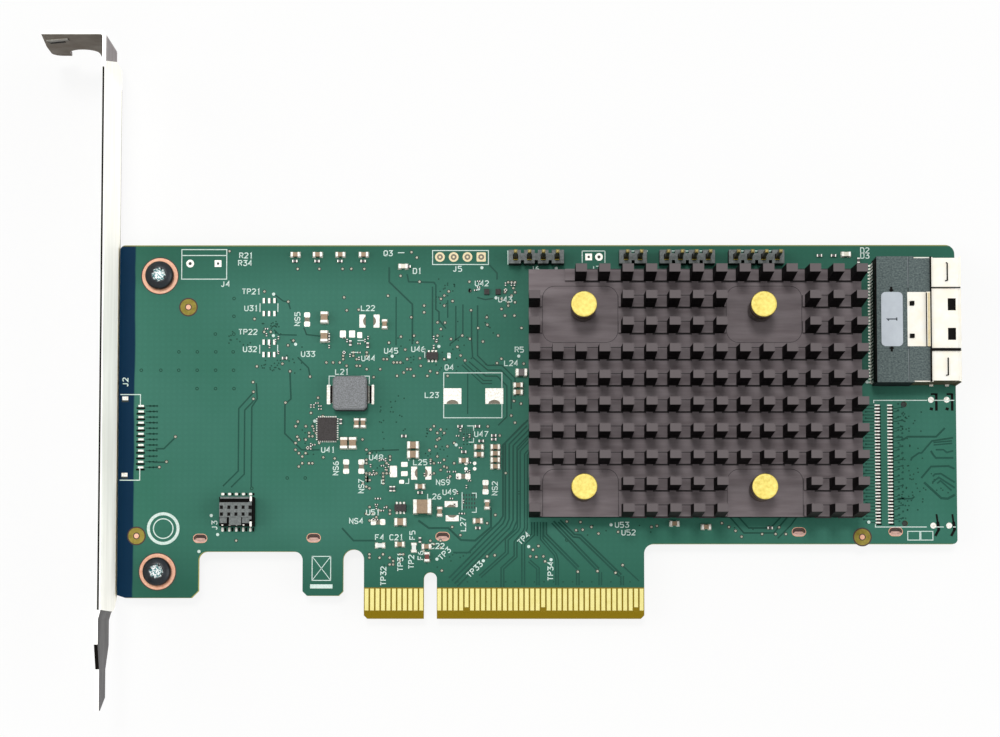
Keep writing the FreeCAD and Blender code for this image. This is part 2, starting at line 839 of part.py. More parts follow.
def flared_rim(grow, wall):
    """Loft from the shell's section at wall inset to the wider front lip."""
    def section(x, spread):
        y0 = port_y - shell_width / 2 + wall - spread
        y1 = port_y + shell_width / 2 - wall + spread
        z0 = board_top + wall
        z1 = port_top - wall + spread
        points = [vector(x, y0, z0), vector(x, y1, z0), vector(x, y1, z1), vector(x, y0, z1)]
        return Part.makePolygon(points + points[:1])
    return Part.makeLoft(
        [section(port_front - shell_flare_length, 0), section(port_front, grow)], True, True)


def shell_box():
    half = shell_width / 2
    outer = block(shell_rear, port_front, port_y - half, port_y + half, board_top, port_top)
    inner = block(
        shell_rear - past, port_front + past, port_y - half + shell_sheet, port_y + half - shell_sheet,
        board_top + shell_sheet, port_top - shell_sheet)
    outer = outer.fuse(flared_rim(shell_flare, 0))
    inner = inner.fuse(flared_rim(shell_flare, shell_sheet))
    return outer.cut(inner).removeSplitter()


def shell_middle(inset):
    """Block over the shell's top between the two seams, shrunk by inset."""
    y0 = port_y + shell_seams[0] + inset
    y1 = port_y + shell_seams[1] - inset
    z0 = port_top - 2 * shell_sheet
    return block(shell_rear - past, port_front + past, y0, y1, z0, port_top + past)


def port_shell():
    shell = shell_box().cut(shell_middle(-shell_seam_width / 2))
    slit_x = port_front - shell_slit_from_front
    slits = []
    parts = []
    for side in (-1, 1):
        slits.append(centred_block(
            slit_x, port_y + side * shell_slit_offset, shell_slit_width, shell_slit_length,
            port_top - 2 * shell_sheet, port_top + past))
        outside = shell_width / 2 + shell_wing_step
        parts.append(block(
            shell_rear - shell_wing_length, shell_rear + 0.4,
            port_y + side * outside, port_y + side * (outside - shell_sheet),
            board_top + 0.8, port_top - 0.3))
        for from_front in shell_leg_xs:
            x = port_front - from_front
            leg_out = shell_width / 2 + shell_leg_step
            half = shell_leg_width / 2
            parts.append(block(
                x - half, x + half, port_y + side * (shell_width / 2 - shell_sheet),
                port_y + side * leg_out, board_top, board_top + shell_sheet))
            parts.append(block(
                x - half, x + half, port_y + side * (leg_out - shell_sheet),
                port_y + side * leg_out, board_top - shell_leg_length, board_top + shell_sheet))
    return shell.cut(slits).fuse(parts).removeSplitter()


def port_top_plate():
    """Middle strip of the port's cage, running back into the housing's seat."""
    front = shell_box().common(shell_middle(shell_seam_width / 2))
    tail_x = housing_rear + housing_groove_from_rear
    half = top_plate_tail_width / 2
    tail = block(
        tail_x, shell_rear + 0.3, port_y - half, port_y + half, port_top - shell_sheet, port_top)
    lip = block(
        shell_rear - top_plate_lip, shell_rear, port_y - half, port_y + half,
        port_top, port_top + top_plate_lip_height)
    cutters = []
    for side in (-1, 1):
        cutters.append(centred_block(
            port_front - latch_window_from_front, port_y + side * latch_window_span / 2,
            latch_window[0], latch_window[1], port_top - past, port_top + past))
        cutters.append(centred_block(
            tail_x + small_hole_from_rear, port_y + side * small_hole_span / 2,
            small_hole, small_hole, port_top - shell_sheet, port_top + past))
    return front.fuse([tail, lip]).cut(cutters).removeSplitter()


def port_label():
    x = housing_rear + label_from_rear + label_width / 2
    return rounded_rectangle(
        x, port_y, label_width, label_length, label_corner, port_top, port_top + label_thickness)


def header_body(start, count):
    x0 = start - header_pitch / 2
    x1 = start + (count - 0.5) * header_pitch
    half = header_body_width / 2
    top = board_top + header_body_height
    body = block(x0, x1, header_y - half, header_y + half, board_top, top)
    cutters = []
    for i in range(count - 1):
        x = start + (i + 0.5) * header_pitch
        for side in (-1, 1):
            cutters.append(centred_block(
                x, header_y + side * half, header_notch_width, 2 * header_notch_depth,
                board_top - past, top + past))
    for i in range(count):
        cutters.append(centred_block(
            start + i * header_pitch, header_y, header_pin_side, header_pin_side,
            board_top - past, top + past))
    return body.cut(cutters)


def pointed_pin(x):
    """Square post with all edges of both ends bevelled to a point."""
    top = board_top + header_pin_above_board
    bottom = board_top - header_pin_below_board
    post = centred_block(x, header_y, header_pin_side, header_pin_side, bottom, top)
    ends = [edge for edge in post.Edges
            if abs(edge.Vertexes[0].Z - edge.Vertexes[1].Z) < 1e-6]
    return post.makeChamfer(header_pin_point, ends)


def socket_columns_x():
    middle = (socket_columns - 1) / 2
    return [socket_x + (i - middle) * socket_pitch for i in range(socket_columns)]


def program_socket_body():
    top = board_top + socket_height
    body = centred_block(
        socket_x, socket_y, socket_length, socket_width,
        board_top + socket_lead_thickness, top)
    feet = [
        centred_block(socket_x + side * (socket_length / 2 - 0.2), socket_y, 0.4, socket_width,
                      board_top, board_top + socket_height / 2)
        for side in (-1, 1)
    ]
    cutters = []
    for x in socket_columns_x():
        for side in (-1, 1):
            y = socket_y + side * socket_pitch / 2
            cutters.append(centred_block(
                x, y, socket_hole_side, socket_hole_side, top - socket_hole_depth, top + past))
    return body.fuse(feet).cut(cutters).removeSplitter()


def program_socket_leads():
    leads = []
    for x in socket_columns_x():
        for side in (-1, 1):
            inner = socket_y + side * socket_pitch / 2
            outer = socket_y + side * (socket_width / 2 + socket_lead_reach)
            leads.append(block(
                x - socket_lead_width / 2, x + socket_lead_width / 2, inner, outer,
                board_top, board_top + socket_lead_thickness))
    return Part.makeCompound(leads)


def inductor_body():
    bottom = board_top + inductor_strap_thickness
    top = board_top + inductor_height
    body = centred_block(inductor_x, inductor_y, inductor_side, inductor_side, bottom, top)
    corners = [edge for edge in body.Edges
               if abs(edge.Vertexes[0].Z - edge.Vertexes[1].Z) > 1e-6]
    body = body.makeChamfer(inductor_corner, corners)
    rim = [edge for edge in body.Edges
           if all(abs(v.Z - top) < 1e-6 for v in edge.Vertexes)]
    return body.makeChamfer(inductor_top_chamfer, rim)


def inductor_terminals():
    """Copper straps down both sides and folded out onto the board."""
    straps = []
    half = inductor_strap_width / 2
    for side in (-1, 1):
        face = inductor_x + side * inductor_side / 2
        upright = block(
            face, face + side * inductor_strap_thickness, inductor_y - half, inductor_y + half,
            board_top, board_top + inductor_strap_rise)
        under = block(
            face - side * inductor_foot, face + side * inductor_strap_thickness,
            inductor_y - half, inductor_y + half,
            board_top, board_top + inductor_strap_thickness)
        straps.append(upright.fuse(under).removeSplitter())
    return Part.makeCompound(straps)


def chip(at, size):
    return centred_block(at[0], at[1], size[0], size[1], board_top, board_top + size[2])


def leaded_chip_body(at):
    raised = board_top + chip_lead_thickness
    return centred_block(
        at[0], at[1], leaded_chip_size[0], leaded_chip_size[1], raised,
        board_top + leaded_chip_size[2])


def chip_leads(at):
    leads = []
    middle = (chip_leads_per_side - 1) / 2
    edge = leaded_chip_size[1] / 2
    for i in range(chip_leads_per_side):
        x = at[0] + (i - middle) * chip_lead_pitch
        for side in (-1, 1):
            y0 = at[1] + side * (edge - 0.3)
            y1 = at[1] + side * (edge + chip_lead_reach)
            leads.append(block(
                x - chip_lead_width / 2, x + chip_lead_width / 2, y0, y1,
                board_top, board_top + chip_lead_thickness))
    return leads


def two_ended(places, size):
    """Bodies and end caps of two-ended parts."""
    length, width, height, cap = size
    bodies = []
    caps = []
    for x, y, turn in places:
        z0 = board_top
        z1 = board_top + height
        half = length / 2
        body = block(cap - half, half - cap, end_cap_lip - width / 2,
                     width / 2 - end_cap_lip, z0, z1)
        ends = [
            block(-half, cap - half, -width / 2, width / 2, z0, z1),
            block(half - cap, half, -width / 2, width / 2, z0, z1),
        ]
        for piece in [body] + ends:
            piece.rotate(vector(0, 0, 0), up, turn)
            piece.translate(vector(x, y, 0))
        bodies.append(body)
        caps += ends
    return Part.makeCompound(bodies), Part.makeCompound(caps)


nodes = {
    "circuit_board": circuit_board(),
    "edge_contacts_front": edge_contacts(True),
    "edge_contacts_back": edge_contacts(False),
    "bracket": bracket(),
    "bracket_screws": Part.makeCompound([bracket_screw(screw_x, y) for y in screw_ys]),
    "heat_sink": heat_sink(),
    "push_pins": Part.makeCompound([push_pin(x, y) for x, y in push_pins_at]),
    "push_pin_springs": Part.makeCompound([push_pin_spring(x, y) for x, y in push_pins_at]),
    "controller_substrate": centred_block(
        controller_x, controller_y, substrate_size, substrate_size, board_top, substrate_top),
    "controller_lid": centred_block(
        controller_x, controller_y, lid_size, lid_size, substrate_top, lid_top),
    "thermal_pad": centred_block(
        controller_x, controller_y, thermal_pad_size, thermal_pad_size, lid_top, sink_bottom),
    "port_housing": port_housing(),
    "port_leads": port_leads(),
    "port_contacts_upper": blade_contacts(1),
    "port_contacts_lower": blade_contacts(-1),
    "port_shell": port_shell(),
    "port_top_plate": port_top_plate(),
    "port_label": port_label(),
    "pin_header_pins": Part.makeCompound([pointed_pin(x) for x in header_pins_x()]),
    "program_socket_body": program_socket_body(),
    "program_socket_leads": program_socket_leads(),
    "inductor_body": inductor_body(),
    "inductor_terminals": inductor_terminals(),
    "regulator_chip": chip(regulator_at, regulator_size),
    "leaded_chips": Part.makeCompound([leaded_chip_body(at) for at in leaded_chips]),
    "chip_leads": Part.makeCompound([lead for at in leaded_chips for lead in chip_leads(at)]),
    "tiny_chips": Part.makeCompound(
        [chip((x, board_height - tiny_chip_gap), tiny_chip_size) for x in tiny_chip_xs]),
}

for letter, start, count in headers:
    nodes["pin_header_body_" + letter] = header_body(start, count)

two_ended_parts = {
    "capacitors_0603": (capacitors_0603_at, size_0603),
    "capacitors_0805": (capacitors_0805_at, size_0805),
    "capacitor_1210": (capacitor_1210_at, size_1210),
    "ferrite_bead": (ferrite_bead_at, size_0805),
    "fuses": (fuses_at, size_fuse),
    "diode": (diode_at, size_0603),
    "status_leds": (leds_at, size_0603),
}
for name, (places, size) in two_ended_parts.items():
    nodes[name], nodes[name + "_ends"] = two_ended(places, size)

os.makedirs("parts", exist_ok=True)
for name, shape in nodes.items():
    shape.exportStep("parts/" + name + ".step")
    print(name, len(shape.Solids), "solids")
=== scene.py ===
# Low-profile storage controller card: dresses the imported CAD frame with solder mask, ink, solder and light.
# Lengths are millimetres on the card's own axes; meshObject turns them to metres.
import math
import random

import bmesh
import bpy
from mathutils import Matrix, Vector


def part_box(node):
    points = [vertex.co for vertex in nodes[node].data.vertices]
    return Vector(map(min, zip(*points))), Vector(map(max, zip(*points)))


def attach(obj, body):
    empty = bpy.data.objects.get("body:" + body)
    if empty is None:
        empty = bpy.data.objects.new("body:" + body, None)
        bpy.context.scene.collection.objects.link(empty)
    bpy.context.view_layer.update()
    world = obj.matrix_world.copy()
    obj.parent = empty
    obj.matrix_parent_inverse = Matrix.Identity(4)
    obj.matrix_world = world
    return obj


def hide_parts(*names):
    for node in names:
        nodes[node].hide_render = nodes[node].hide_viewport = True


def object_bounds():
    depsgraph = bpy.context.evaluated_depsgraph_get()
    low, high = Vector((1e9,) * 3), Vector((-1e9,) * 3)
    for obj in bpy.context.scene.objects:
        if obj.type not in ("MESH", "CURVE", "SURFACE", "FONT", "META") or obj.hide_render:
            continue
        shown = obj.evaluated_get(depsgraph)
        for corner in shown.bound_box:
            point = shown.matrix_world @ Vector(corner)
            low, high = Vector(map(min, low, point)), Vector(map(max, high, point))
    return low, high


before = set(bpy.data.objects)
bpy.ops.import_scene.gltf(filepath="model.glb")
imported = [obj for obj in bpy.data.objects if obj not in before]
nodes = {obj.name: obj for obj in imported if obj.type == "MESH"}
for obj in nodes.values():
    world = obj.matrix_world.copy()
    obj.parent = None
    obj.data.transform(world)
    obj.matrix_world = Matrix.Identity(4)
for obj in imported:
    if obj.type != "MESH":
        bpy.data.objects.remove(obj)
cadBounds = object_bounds()
mm = 0.001
print("frame loaded:", len(nodes), "nodes")


def nodeBox(name):
    low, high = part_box(name)
    return low / mm, high / mm


boardLow, boardHigh = nodeBox("circuit_board")
boardTop = boardHigh.z
boardBack = boardLow.z
sinkLow, sinkHigh = nodeBox("heat_sink")


def solidBoxes(name):
    # one box for each separate solid of a node, found by walking its welded mesh
    bm = bmesh.new()
    bm.from_mesh(nodes[name].data)
    bmesh.ops.remove_doubles(bm, verts=bm.verts, dist=1e-7)
    seen = set()
    boxes = []
    for start in bm.verts:
        if start in seen:
            continue
        seen.add(start)
        stack = [start]
        points = []
        while stack:
            vert = stack.pop()
            points.append(vert.co / mm)
            for edge in vert.link_edges:
                other = edge.other_vert(vert)
                if other not in seen:
                    seen.add(other)
                    stack.append(other)
        low, high = (Vector([pick(p[i] for p in points) for i in range(3)]) for pick in (min, max))
        boxes.append((low, high, (low + high) / 2))
    bm.free()
    return boxes


# Colours and shader nodes

def toLinear(hexCode):
    # sRGB hex to the linear colour that the shader takes
    values = [int(hexCode[i:i + 2], 16) / 255 for i in (1, 3, 5)]
    linear = [v / 12.92 if v <= 0.04045 else ((v + 0.055) / 1.055) ** 2.4 for v in values]
    return (*linear, 1.0)


def addNode(tree, kind, settings=None, links=None):
    # a link comes from a socket, or from a node, which stands for its first output
    node = tree.nodes.new("ShaderNode" + kind)
    for key, value in (settings or {}).items():
        if key == "ramp":
            for point, (place, tone) in zip(node.color_ramp.elements, value):
                point.position = place
                point.color = toLinear(tone)
        elif isinstance(key, str) and hasattr(node, key):
            setattr(node, key, value)
        else:
            node.inputs[key].default_value = value
    for key, source in (links or {}).items():
        tree.links.new(getattr(source, "outputs", [source])[0], node.inputs[key])
    return node


def perMm(size):
    # texture scale for a pattern whose features are this many millimetres across
    return 1 / (size * mm)


def newMaterial(name, colour, roughness, metallic=0.0, level=0.5):
    made = bpy.data.materials.new(name)
    made.use_nodes = True
    shader = made.node_tree.nodes["Principled BSDF"]
    shader.inputs["Base Color"].default_value = toLinear(colour)
    shader.inputs["Roughness"].default_value = roughness
    shader.inputs["Metallic"].default_value = metallic
    shader.inputs["Specular IOR Level"].default_value = level
    return made, made.node_tree, shader


def grainFinish(tree, shader, dark, light, grain, smooth, rough, stretch=(1, 1, 1), contrast=0.2,
                bump=0.2, depth=0.02, uprightPaintedShade=None, crown=None, topShadeHeight=0.0):
    # colour drifting between two tones, a spread of roughness and a fine bump, all from one noise
    place = addNode(tree, "TexCoord").outputs["Object"]
    squash = addNode(tree, "Mapping", {"Scale": stretch}, {"Vector": place})
    pattern = {"Scale": perMm(grain), "Detail": 4.0, "Roughness": 0.6}
    noise = addNode(tree, "TexNoise", pattern, {"Vector": squash})
    ramp = {"ramp": ((0.5 - contrast, dark), (0.5 + contrast, light))}
    colour = addNode(tree, "ValToRGB", ramp, {"Fac": noise}).outputs["Color"]
    if uprightPaintedShade:
        # faces that stand upright take their own darker tone, painted shade
        facing = addNode(tree, "NewGeometry").outputs["True Normal"]
        split = addNode(tree, "SeparateXYZ", {}, {"Vector": facing})
        steep = addNode(tree, "Math", {"operation": "ABSOLUTE"}, {0: split.outputs["Z"]})
        upright = addNode(tree, "MapRange", {"From Min": 0.75, "From Max": 0.45}, {"Value": steep})
        over = {"data_type": "RGBA", 7: toLinear(uprightPaintedShade)}
        colour = addNode(tree, "Mix", over, {0: upright, 6: colour}).outputs[2]
    if crown:
        # level tops above a given height take a third, darker tone: painted shade
        height = addNode(tree, "SeparateXYZ", {}, {"Vector": place}).outputs["Z"]
        above = addNode(tree, "Math", {"operation": "GREATER_THAN", 1: topShadeHeight * mm}, {0: height})
        level = addNode(tree, "Math", {"operation": "GREATER_THAN", 1: 0.75}, {0: steep})
        top = addNode(tree, "Math", {"operation": "MULTIPLY"}, {0: above, 1: level})
        over = {"data_type": "RGBA", 7: toLinear(crown)}
        colour = addNode(tree, "Mix", over, {0: top, 6: colour}).outputs[2]
    gloss = addNode(tree, "MapRange", {"From Min": 0.3, "From Max": 0.7, "To Min": smooth, "To Max": rough},
                    {"Value": noise})
    relief = addNode(tree, "Bump", {"Strength": bump, "Distance": depth * mm}, {"Height": noise})
    tree.links.new(colour, shader.inputs["Base Color"])
    tree.links.new(gloss.outputs["Result"], shader.inputs["Roughness"])
    tree.links.new(relief.outputs["Normal"], shader.inputs["Normal"])
    return colour


def grainMaterial(name, dark, light, grain, smooth, rough, more=None):
    more = dict(more or {})
    made, tree, shader = newMaterial(name, light, rough, more.pop("metallic", 0.0), more.pop("level", 0.5))
    grainFinish(tree, shader, dark, light, grain, smooth, rough, **more)
    return made


# Mesh helpers; points are millimetres

def addLoop(bm, points, z):
    return [bm.verts.new((x, y, z)) for x, y in points]


def addSkin(bm, loops, index=0, around=True, smooth=False):
    # walls from each loop to the next; a loop of one vertex closes to a point
    for a, b in zip(loops, loops[1:]):
        for i in range(max(len(a), len(b)) - (not around)):
            corners = [a[i % len(a)], a[(i + 1) % len(a)], b[(i + 1) % len(b)], b[i % len(b)]]
            face = bm.faces.new(list(dict.fromkeys(corners)))
            face.material_index = index
            face.smooth = smooth


def addFace(bm, corners, index):
    bm.faces.new(corners).material_index = index


def addBlock(bm, corners, z0, z1, index=0, base=True):
    low = addLoop(bm, corners, z0)
    high = addLoop(bm, corners, z1)
    addFace(bm, high, index)
    if base:
        addFace(bm, low[::-1], index)
    addSkin(bm, [low, high], index)


def addFlat(bm, corners, rise, index=0, foot=0.0):
    # low shape from foot to rise above the board, open beneath
    addBlock(bm, corners, boardTop + foot, boardTop + rise, index, False)


def circle(x, y, radius, sides):
    return [(x + radius * math.cos(2 * math.pi * i / sides),
             y + radius * math.sin(2 * math.pi * i / sides)) for i in range(sides)]


def box(x, y, sizeX, sizeY, cut=0.0):
    hx = sizeX / 2
    hy = sizeY / 2
    if not cut:
        return [(x - hx, y - hy), (x + hx, y - hy), (x + hx, y + hy), (x - hx, y + hy)]
    return [(x - hx + cut, y - hy), (x + hx - cut, y - hy), (x + hx, y - hy + cut), (x + hx, y + hy - cut),
            (x + hx - cut, y + hy), (x - hx + cut, y + hy), (x - hx, y + hy - cut), (x - hx, y - hy + cut)]


def addPads(bm, places, sizeX, sizeY, rise, index=0, cut=0.0, foot=0.0):
    for x, y in places:
        addFlat(bm, box(x, y, sizeX, sizeY, cut), rise, index, foot)


def addDots(bm, places, radius, sides, rise, index=0, foot=0.0):
    for x, y in places:
        addFlat(bm, circle(x, y, radius, sides), rise, index, foot)


def addRing(bm, outer, inner, z0, z1, index=0):
    # band between two loops of as many points, with an open middle
    loops = [addLoop(bm, loop, z) for loop, z in ((outer, z0), (outer, z1), (inner, z1), (inner, z0))]
    addSkin(bm, loops + loops[:1], index)


def addRings(bm, places, outer, inner, sides, rise, index=0, foot=0.0):
    for x, y in places:
        loops = [circle(x, y, radius, sides) for radius in (outer, inner)]
        addRing(bm, *loops, boardTop + foot, boardTop + rise, index)


def addLathe(bm, x, y, profile, sides, index=0):
    # profile runs from the bottom of the axis to its top, (radius, z)
    loops = [addLoop(bm, circle(x, y, radius, sides) if radius else [(x, y)], z) for radius, z in profile]
    addSkin(bm, loops, index, smooth=True)


def stripSides(points, width, closed=False):
    # left and right edges of a line of constant width with mitred corners
    pts = [Vector(p) for p in points]
    count = len(pts)
    left = []
    right = []
    for i, p in enumerate(pts):
        before = pts[i - 1] if (i > 0 or closed) else None
        after = pts[(i + 1) % count] if (i < count - 1 or closed) else None
        inward = (p - before).normalized() if before is not None else (after - p).normalized()
        outward = (after - p).normalized() if after is not None else inward
        normalIn = Vector((-inward.y, inward.x))
        normalOut = Vector((-outward.y, outward.x))
        middle = (normalIn + normalOut).normalized()
        reach = width / 2 / max(0.35, middle.dot(normalIn))
        left.append(p + middle * reach)
        right.append(p - middle * reach)
    return left, right


def addStrip(bm, points, width, rise, index=0, foot=0.0):
    # a flat line above the board; it closes on itself where its last point is its first
    closed = points[0] == points[-1]
    left, right = stripSides(points[:-1] if closed else points, width, closed)
    z0 = boardTop + foot
    z1 = boardTop + rise
    rails = [addLoop(bm, side, z) for side, z in ((left, z0), (left, z1), (right, z1), (right, z0))]
    addSkin(bm, rails + rails[:1], index, closed)
    if not closed:
        for i in (0, -1):
            addFace(bm, [rail[i] for rail in rails], index)


def addSkirt(bm, low, high, spread, rise):
    # solder drawn up round the foot of a terminal: wide at the board, closing on the terminal
    x = (low.x + high.x) / 2
    y = (low.y + high.y) / 2
    loops = [addLoop(bm, box(x, y, high.x - low.x + 2 * out, high.y - low.y + 2 * out), boardTop + z)
             for out, z in ((spread, 0.0), (spread * 0.45, rise * 0.35), (0.02, rise))]
    addSkin(bm, loops, smooth=True)
    addFace(bm, loops[0][::-1], 0)
    addFace(bm, loops[-1], 0)


def meshObject(name, bm, finishNames):
    bmesh.ops.recalc_face_normals(bm, faces=bm.faces)
    bmesh.ops.scale(bm, vec=(mm, mm, mm), verts=bm.verts)
    mesh = bpy.data.meshes.new(name)
    bm.to_mesh(mesh)
    bm.free()
    for finish in finishNames:
        mesh.materials.append(material[finish])
    piece = bpy.data.objects.new(name, mesh)
    bpy.context.scene.collection.objects.link(piece)
    return piece


def finishPiece(name, bm, finishNames):
    piece = meshObject(name, bm, finishNames)
    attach(piece, "root")
    return piece


# Finishes

# Green epoxy solder mask over copper and glass cloth: satin, a faint cloth print, tone drifting over the card
maskLook = {
    "green": "#3D7867", "deepGreen": "#3B7764", "paleGreen": "#427C6B", "borderGreen": "#245A48",
    # the deep blue band beside the bracket is a painted shadow
    "bracketShadowBand": "#002A46", "bandWidth": 3.0, "laminate": "#B9B055", "bareEdge": "#8A7314",
    "driftSize": 22.0, "driftSpread": 0.14, "clothPitch": 0.55, "clothShare": 0.05, "roughness": 0.42,
    "gloss": 0.06, "bareTop": 5.7, "hookEdge": -12.3, "rim": 0.28, "rimShare": 0.8,
    "bandWaver": 9.0, "bandShift": 0.5, "bandEdge": (0.28, 0.02), "fineGrain": 0.6, "bump": 0.08,
    "depth": 0.02, "borders": (("X", 92.0, 106.0), ("Y", 60.0, 69.0), ("Y", 17.0, 6.0)), "borderShare": 0.7,
}


def solderMaskMaterial():
    look = maskLook
    made, tree, shader = newMaterial("epoxySolderMask", look["green"], look["roughness"], 0.0, look["gloss"])
    place = {"Vector": addNode(tree, "TexCoord").outputs["Object"]}
    split = addNode(tree, "SeparateXYZ", {}, place)
    drift = addNode(tree, "TexNoise", {"Scale": perMm(look["driftSize"]), "Detail": 3.0}, place)
    spread = look["driftSpread"]
    ramp = {"ramp": ((0.5 - spread, look["deepGreen"]), (0.5 + spread, look["paleGreen"]))}
    tones = addNode(tree, "ValToRGB", ramp, {"Fac": drift})
    # glass cloth showing faintly through the mask, one thread every clothPitch
    weave = {"Scale": perMm(look["clothPitch"]) / 6.28, "Distortion": 1.5, "Detail": 2.0}
    threads = [addNode(tree, "TexWave", {"bands_direction": axis, **weave}, place).outputs["Fac"]
               for axis in "XY"]
    cloth = addNode(tree, "Math", {"operation": "MULTIPLY"}, {0: threads[0], 1: threads[1]})
    colour = addNode(tree, "Mix", {"data_type": "RGBA", "blend_type": "MULTIPLY", 0: look["clothShare"]},
                     {6: tones, 7: cloth}).outputs[2]
    # the mask runs thicker, so deeper, along the top, bottom and right borders
    border = None
    for axis, inner, outer in look["borders"]:
        reach = {"From Min": inner * mm, "From Max": outer * mm, "To Max": look["borderShare"]}
        share = addNode(tree, "MapRange", reach, {"Value": split.outputs[axis]})
        border = addNode(tree, "Math", {"operation": "MAXIMUM"}, {0: border, 1: share}) if border else share
    # bare laminate round the edge fingers, where the mask stops
    low = addNode(tree, "Math", {"operation": "LESS_THAN", 1: look["bareTop"] * mm}, {0: split.outputs["Y"]})
    past = addNode(tree, "Math", {"operation": "GREATER_THAN", 1: look["hookEdge"] * mm},
                   {0: split.outputs["X"]})
    tongue = addNode(tree, "Math", {"operation": "MULTIPLY"}, {0: low, 1: past})
    # painted shadow of the bracket: a deep blue band beside it, its edge not quite straight
    waver = addNode(tree, "TexNoise", {"Scale": perMm(look["bandWaver"]), "Detail": 2.0}, place)
    shift = addNode(tree, "Math", {"operation": "MULTIPLY_ADD", 1: look["bandShift"] * mm},
                    {0: waver, 2: split.outputs["X"]})
    clear, full = ((boardLow.x + look["bandWidth"] + past) * mm for past in look["bandEdge"])
    band = addNode(tree, "MapRange", {"From Min": clear, "From Max": full}, {"Value": shift})
    # cut edges of the board show the yellow-green laminate, and so does a thin rim along the top
    facing = addNode(tree, "NewGeometry").outputs["Normal"]
    steep = addNode(tree, "Math", {"operation": "ABSOLUTE"},
                    {0: addNode(tree, "SeparateXYZ", {}, {"Vector": facing}).outputs["Z"]})
    side = addNode(tree, "Math", {"operation": "LESS_THAN", 1: 0.5}, {0: steep})
    reach = {"From Min": (boardHigh.y - look["rim"]) * mm, "From Max": boardHigh.y * mm,
             "To Max": look["rimShare"]}
    rim = addNode(tree, "MapRange", reach, {"Value": split.outputs["Y"]})
    bared = addNode(tree, "Math", {"operation": "MAXIMUM"}, {0: side, 1: rim})
    zones = ((border, "borderGreen"), (tongue, "bareEdge"), (band, "bracketShadowBand"), (bared, "laminate"))
    for share, tone in zones:
        over = {"data_type": "RGBA", 7: toLinear(look[tone])}
        colour = addNode(tree, "Mix", over, {0: share, 6: colour}).outputs[2]
    fine = addNode(tree, "TexNoise", {"Scale": perMm(look["fineGrain"]), "Detail": 3.0}, place)
    relief = addNode(tree, "Bump", {"Strength": look["bump"], "Distance": look["depth"] * mm},
                     {"Height": fine})
    tree.links.new(colour, shader.inputs["Base Color"])
    tree.links.new(relief.outputs["Normal"], shader.inputs["Normal"])
    return made


# Rolled steel with bright nickel plate, folded: white on the long plate, burnished past the folds, where the
# tab, gusset and tongue are painted darker as shade; sheared edges take a painted highlight where square to the
# sheet and painted shade where they slant
bracketLook = {
    "tone": "#FDFCF6", "shade": "#E8E6DE", "edgePaintedShade": "#0C0906", "grain": 3.0,
    "tabPaintedShade": "#5E554B", "gussetPaintedShade": "#7A7374", "tonguePaintedShade": "#4C4A4C", "edgePaintedHighlight": "#FFFEFA",
    "farEdgeShadeLimit": -1.12, "rake": -0.231, "gussetFoot": 103.33, "plateTop": 98.4, "plateFoot": 1.2,
    "plateMiddle": -58.12, "shadeLineWidth": 0.34, "level": 0.12, "metalShare": 0.5, "metalEdge": 0.1,
    "gloss": (0.4, 0.6), "stretch": (1, 0.15, 1), "contrast": 0.25, "bump": 0.05,
}


def bracketMaterial():
    look = bracketLook
    made, tree, shader = newMaterial("nickelPlatedSteel", look["tone"], 0.5, 0.0, look["level"])
    colour = grainFinish(tree, shader, look["shade"], look["tone"], look["grain"], *look["gloss"],
                         look["stretch"], look["contrast"], look["bump"])
    place = addNode(tree, "TexCoord").outputs["Object"]
    facing = addNode(tree, "NewGeometry").outputs["True Normal"]
    split, turned = (addNode(tree, "SeparateXYZ", {}, {"Vector": source}).outputs
                     for source in (place, facing))
    # the plate's upper end is raked, so its zone is measured across Y and height together
    lean = addNode(tree, "Math", {"operation": "MULTIPLY", 1: look["rake"]}, {0: split["Z"]})
    raked = addNode(tree, "Math", {"operation": "SUBTRACT"}, {0: split["Y"], 1: lean}).outputs[0]
    outward = addNode(tree, "Math", {"operation": "ABSOLUTE"}, {0: turned["Y"]}).outputs[0]
    top = look["plateTop"] * mm
    foot = look["plateFoot"] * mm
    middle = look["plateMiddle"] * mm
    half = look["shadeLineWidth"] / 2 * mm
    up = turned["Z"]
    # each zone lies over the ones before it; its tests are (what is measured, lower limit, upper limit)
    # the darker tab, gusset and tongue are painted shade; the edge zones are a painted highlight and painted
    # shade lines
    zones = (
        ("gussetPaintedShade", ((raked, look["gussetFoot"] * mm, None),)),
        ("tabPaintedShade", ((split["Y"], top, None), (outward, 0.6, None))),
        ("tonguePaintedShade", ((split["Y"], None, foot),)),
        ("edgePaintedShade", ((split["Z"], None, look["farEdgeShadeLimit"] * mm), (split["Y"], foot, top))),
        ("edgePaintedHighlight", ((up, 0.3, None),)),
        ("edgePaintedShade", ((up, 0.3, None), (split["X"], middle - half, middle + half), (split["Y"], foot, top))),
        ("edgePaintedShade", ((up, 0.3, 0.985),)),
    )
    for zone, tests in zones:
        share = None
        for measure, lower, upper in tests:
            for comparison, limit in (("GREATER_THAN", lower), ("LESS_THAN", upper)):
                if limit is None:
                    continue
                test = addNode(tree, "Math", {"operation": comparison, 1: limit}, {0: measure})
                both = {0: share, 1: test}
                share = addNode(tree, "Math", {"operation": "MULTIPLY"}, both) if share else test
        over = {"data_type": "RGBA", 7: toLinear(look[zone])}
        colour = addNode(tree, "Mix", over, {0: share, 6: colour}).outputs[2]
    # past the folds the forming tool burnished the plate, so it turns metallic there
    centre = addNode(tree, "Math", {"operation": "SUBTRACT", 1: (top + foot) / 2}, {0: split["Y"]})
    reach = addNode(tree, "Math", {"operation": "ABSOLUTE"}, {0: centre})
    fold = (top - foot) / 2
    metal = addNode(tree, "MapRange", {"From Min": fold, "From Max": fold + look["metalEdge"] * mm,
                                       "To Max": look["metalShare"]}, {"Value": reach})
    tree.links.new(colour, shader.inputs["Base Color"])
    tree.links.new(metal.outputs[0], shader.inputs["Metallic"])
    return made
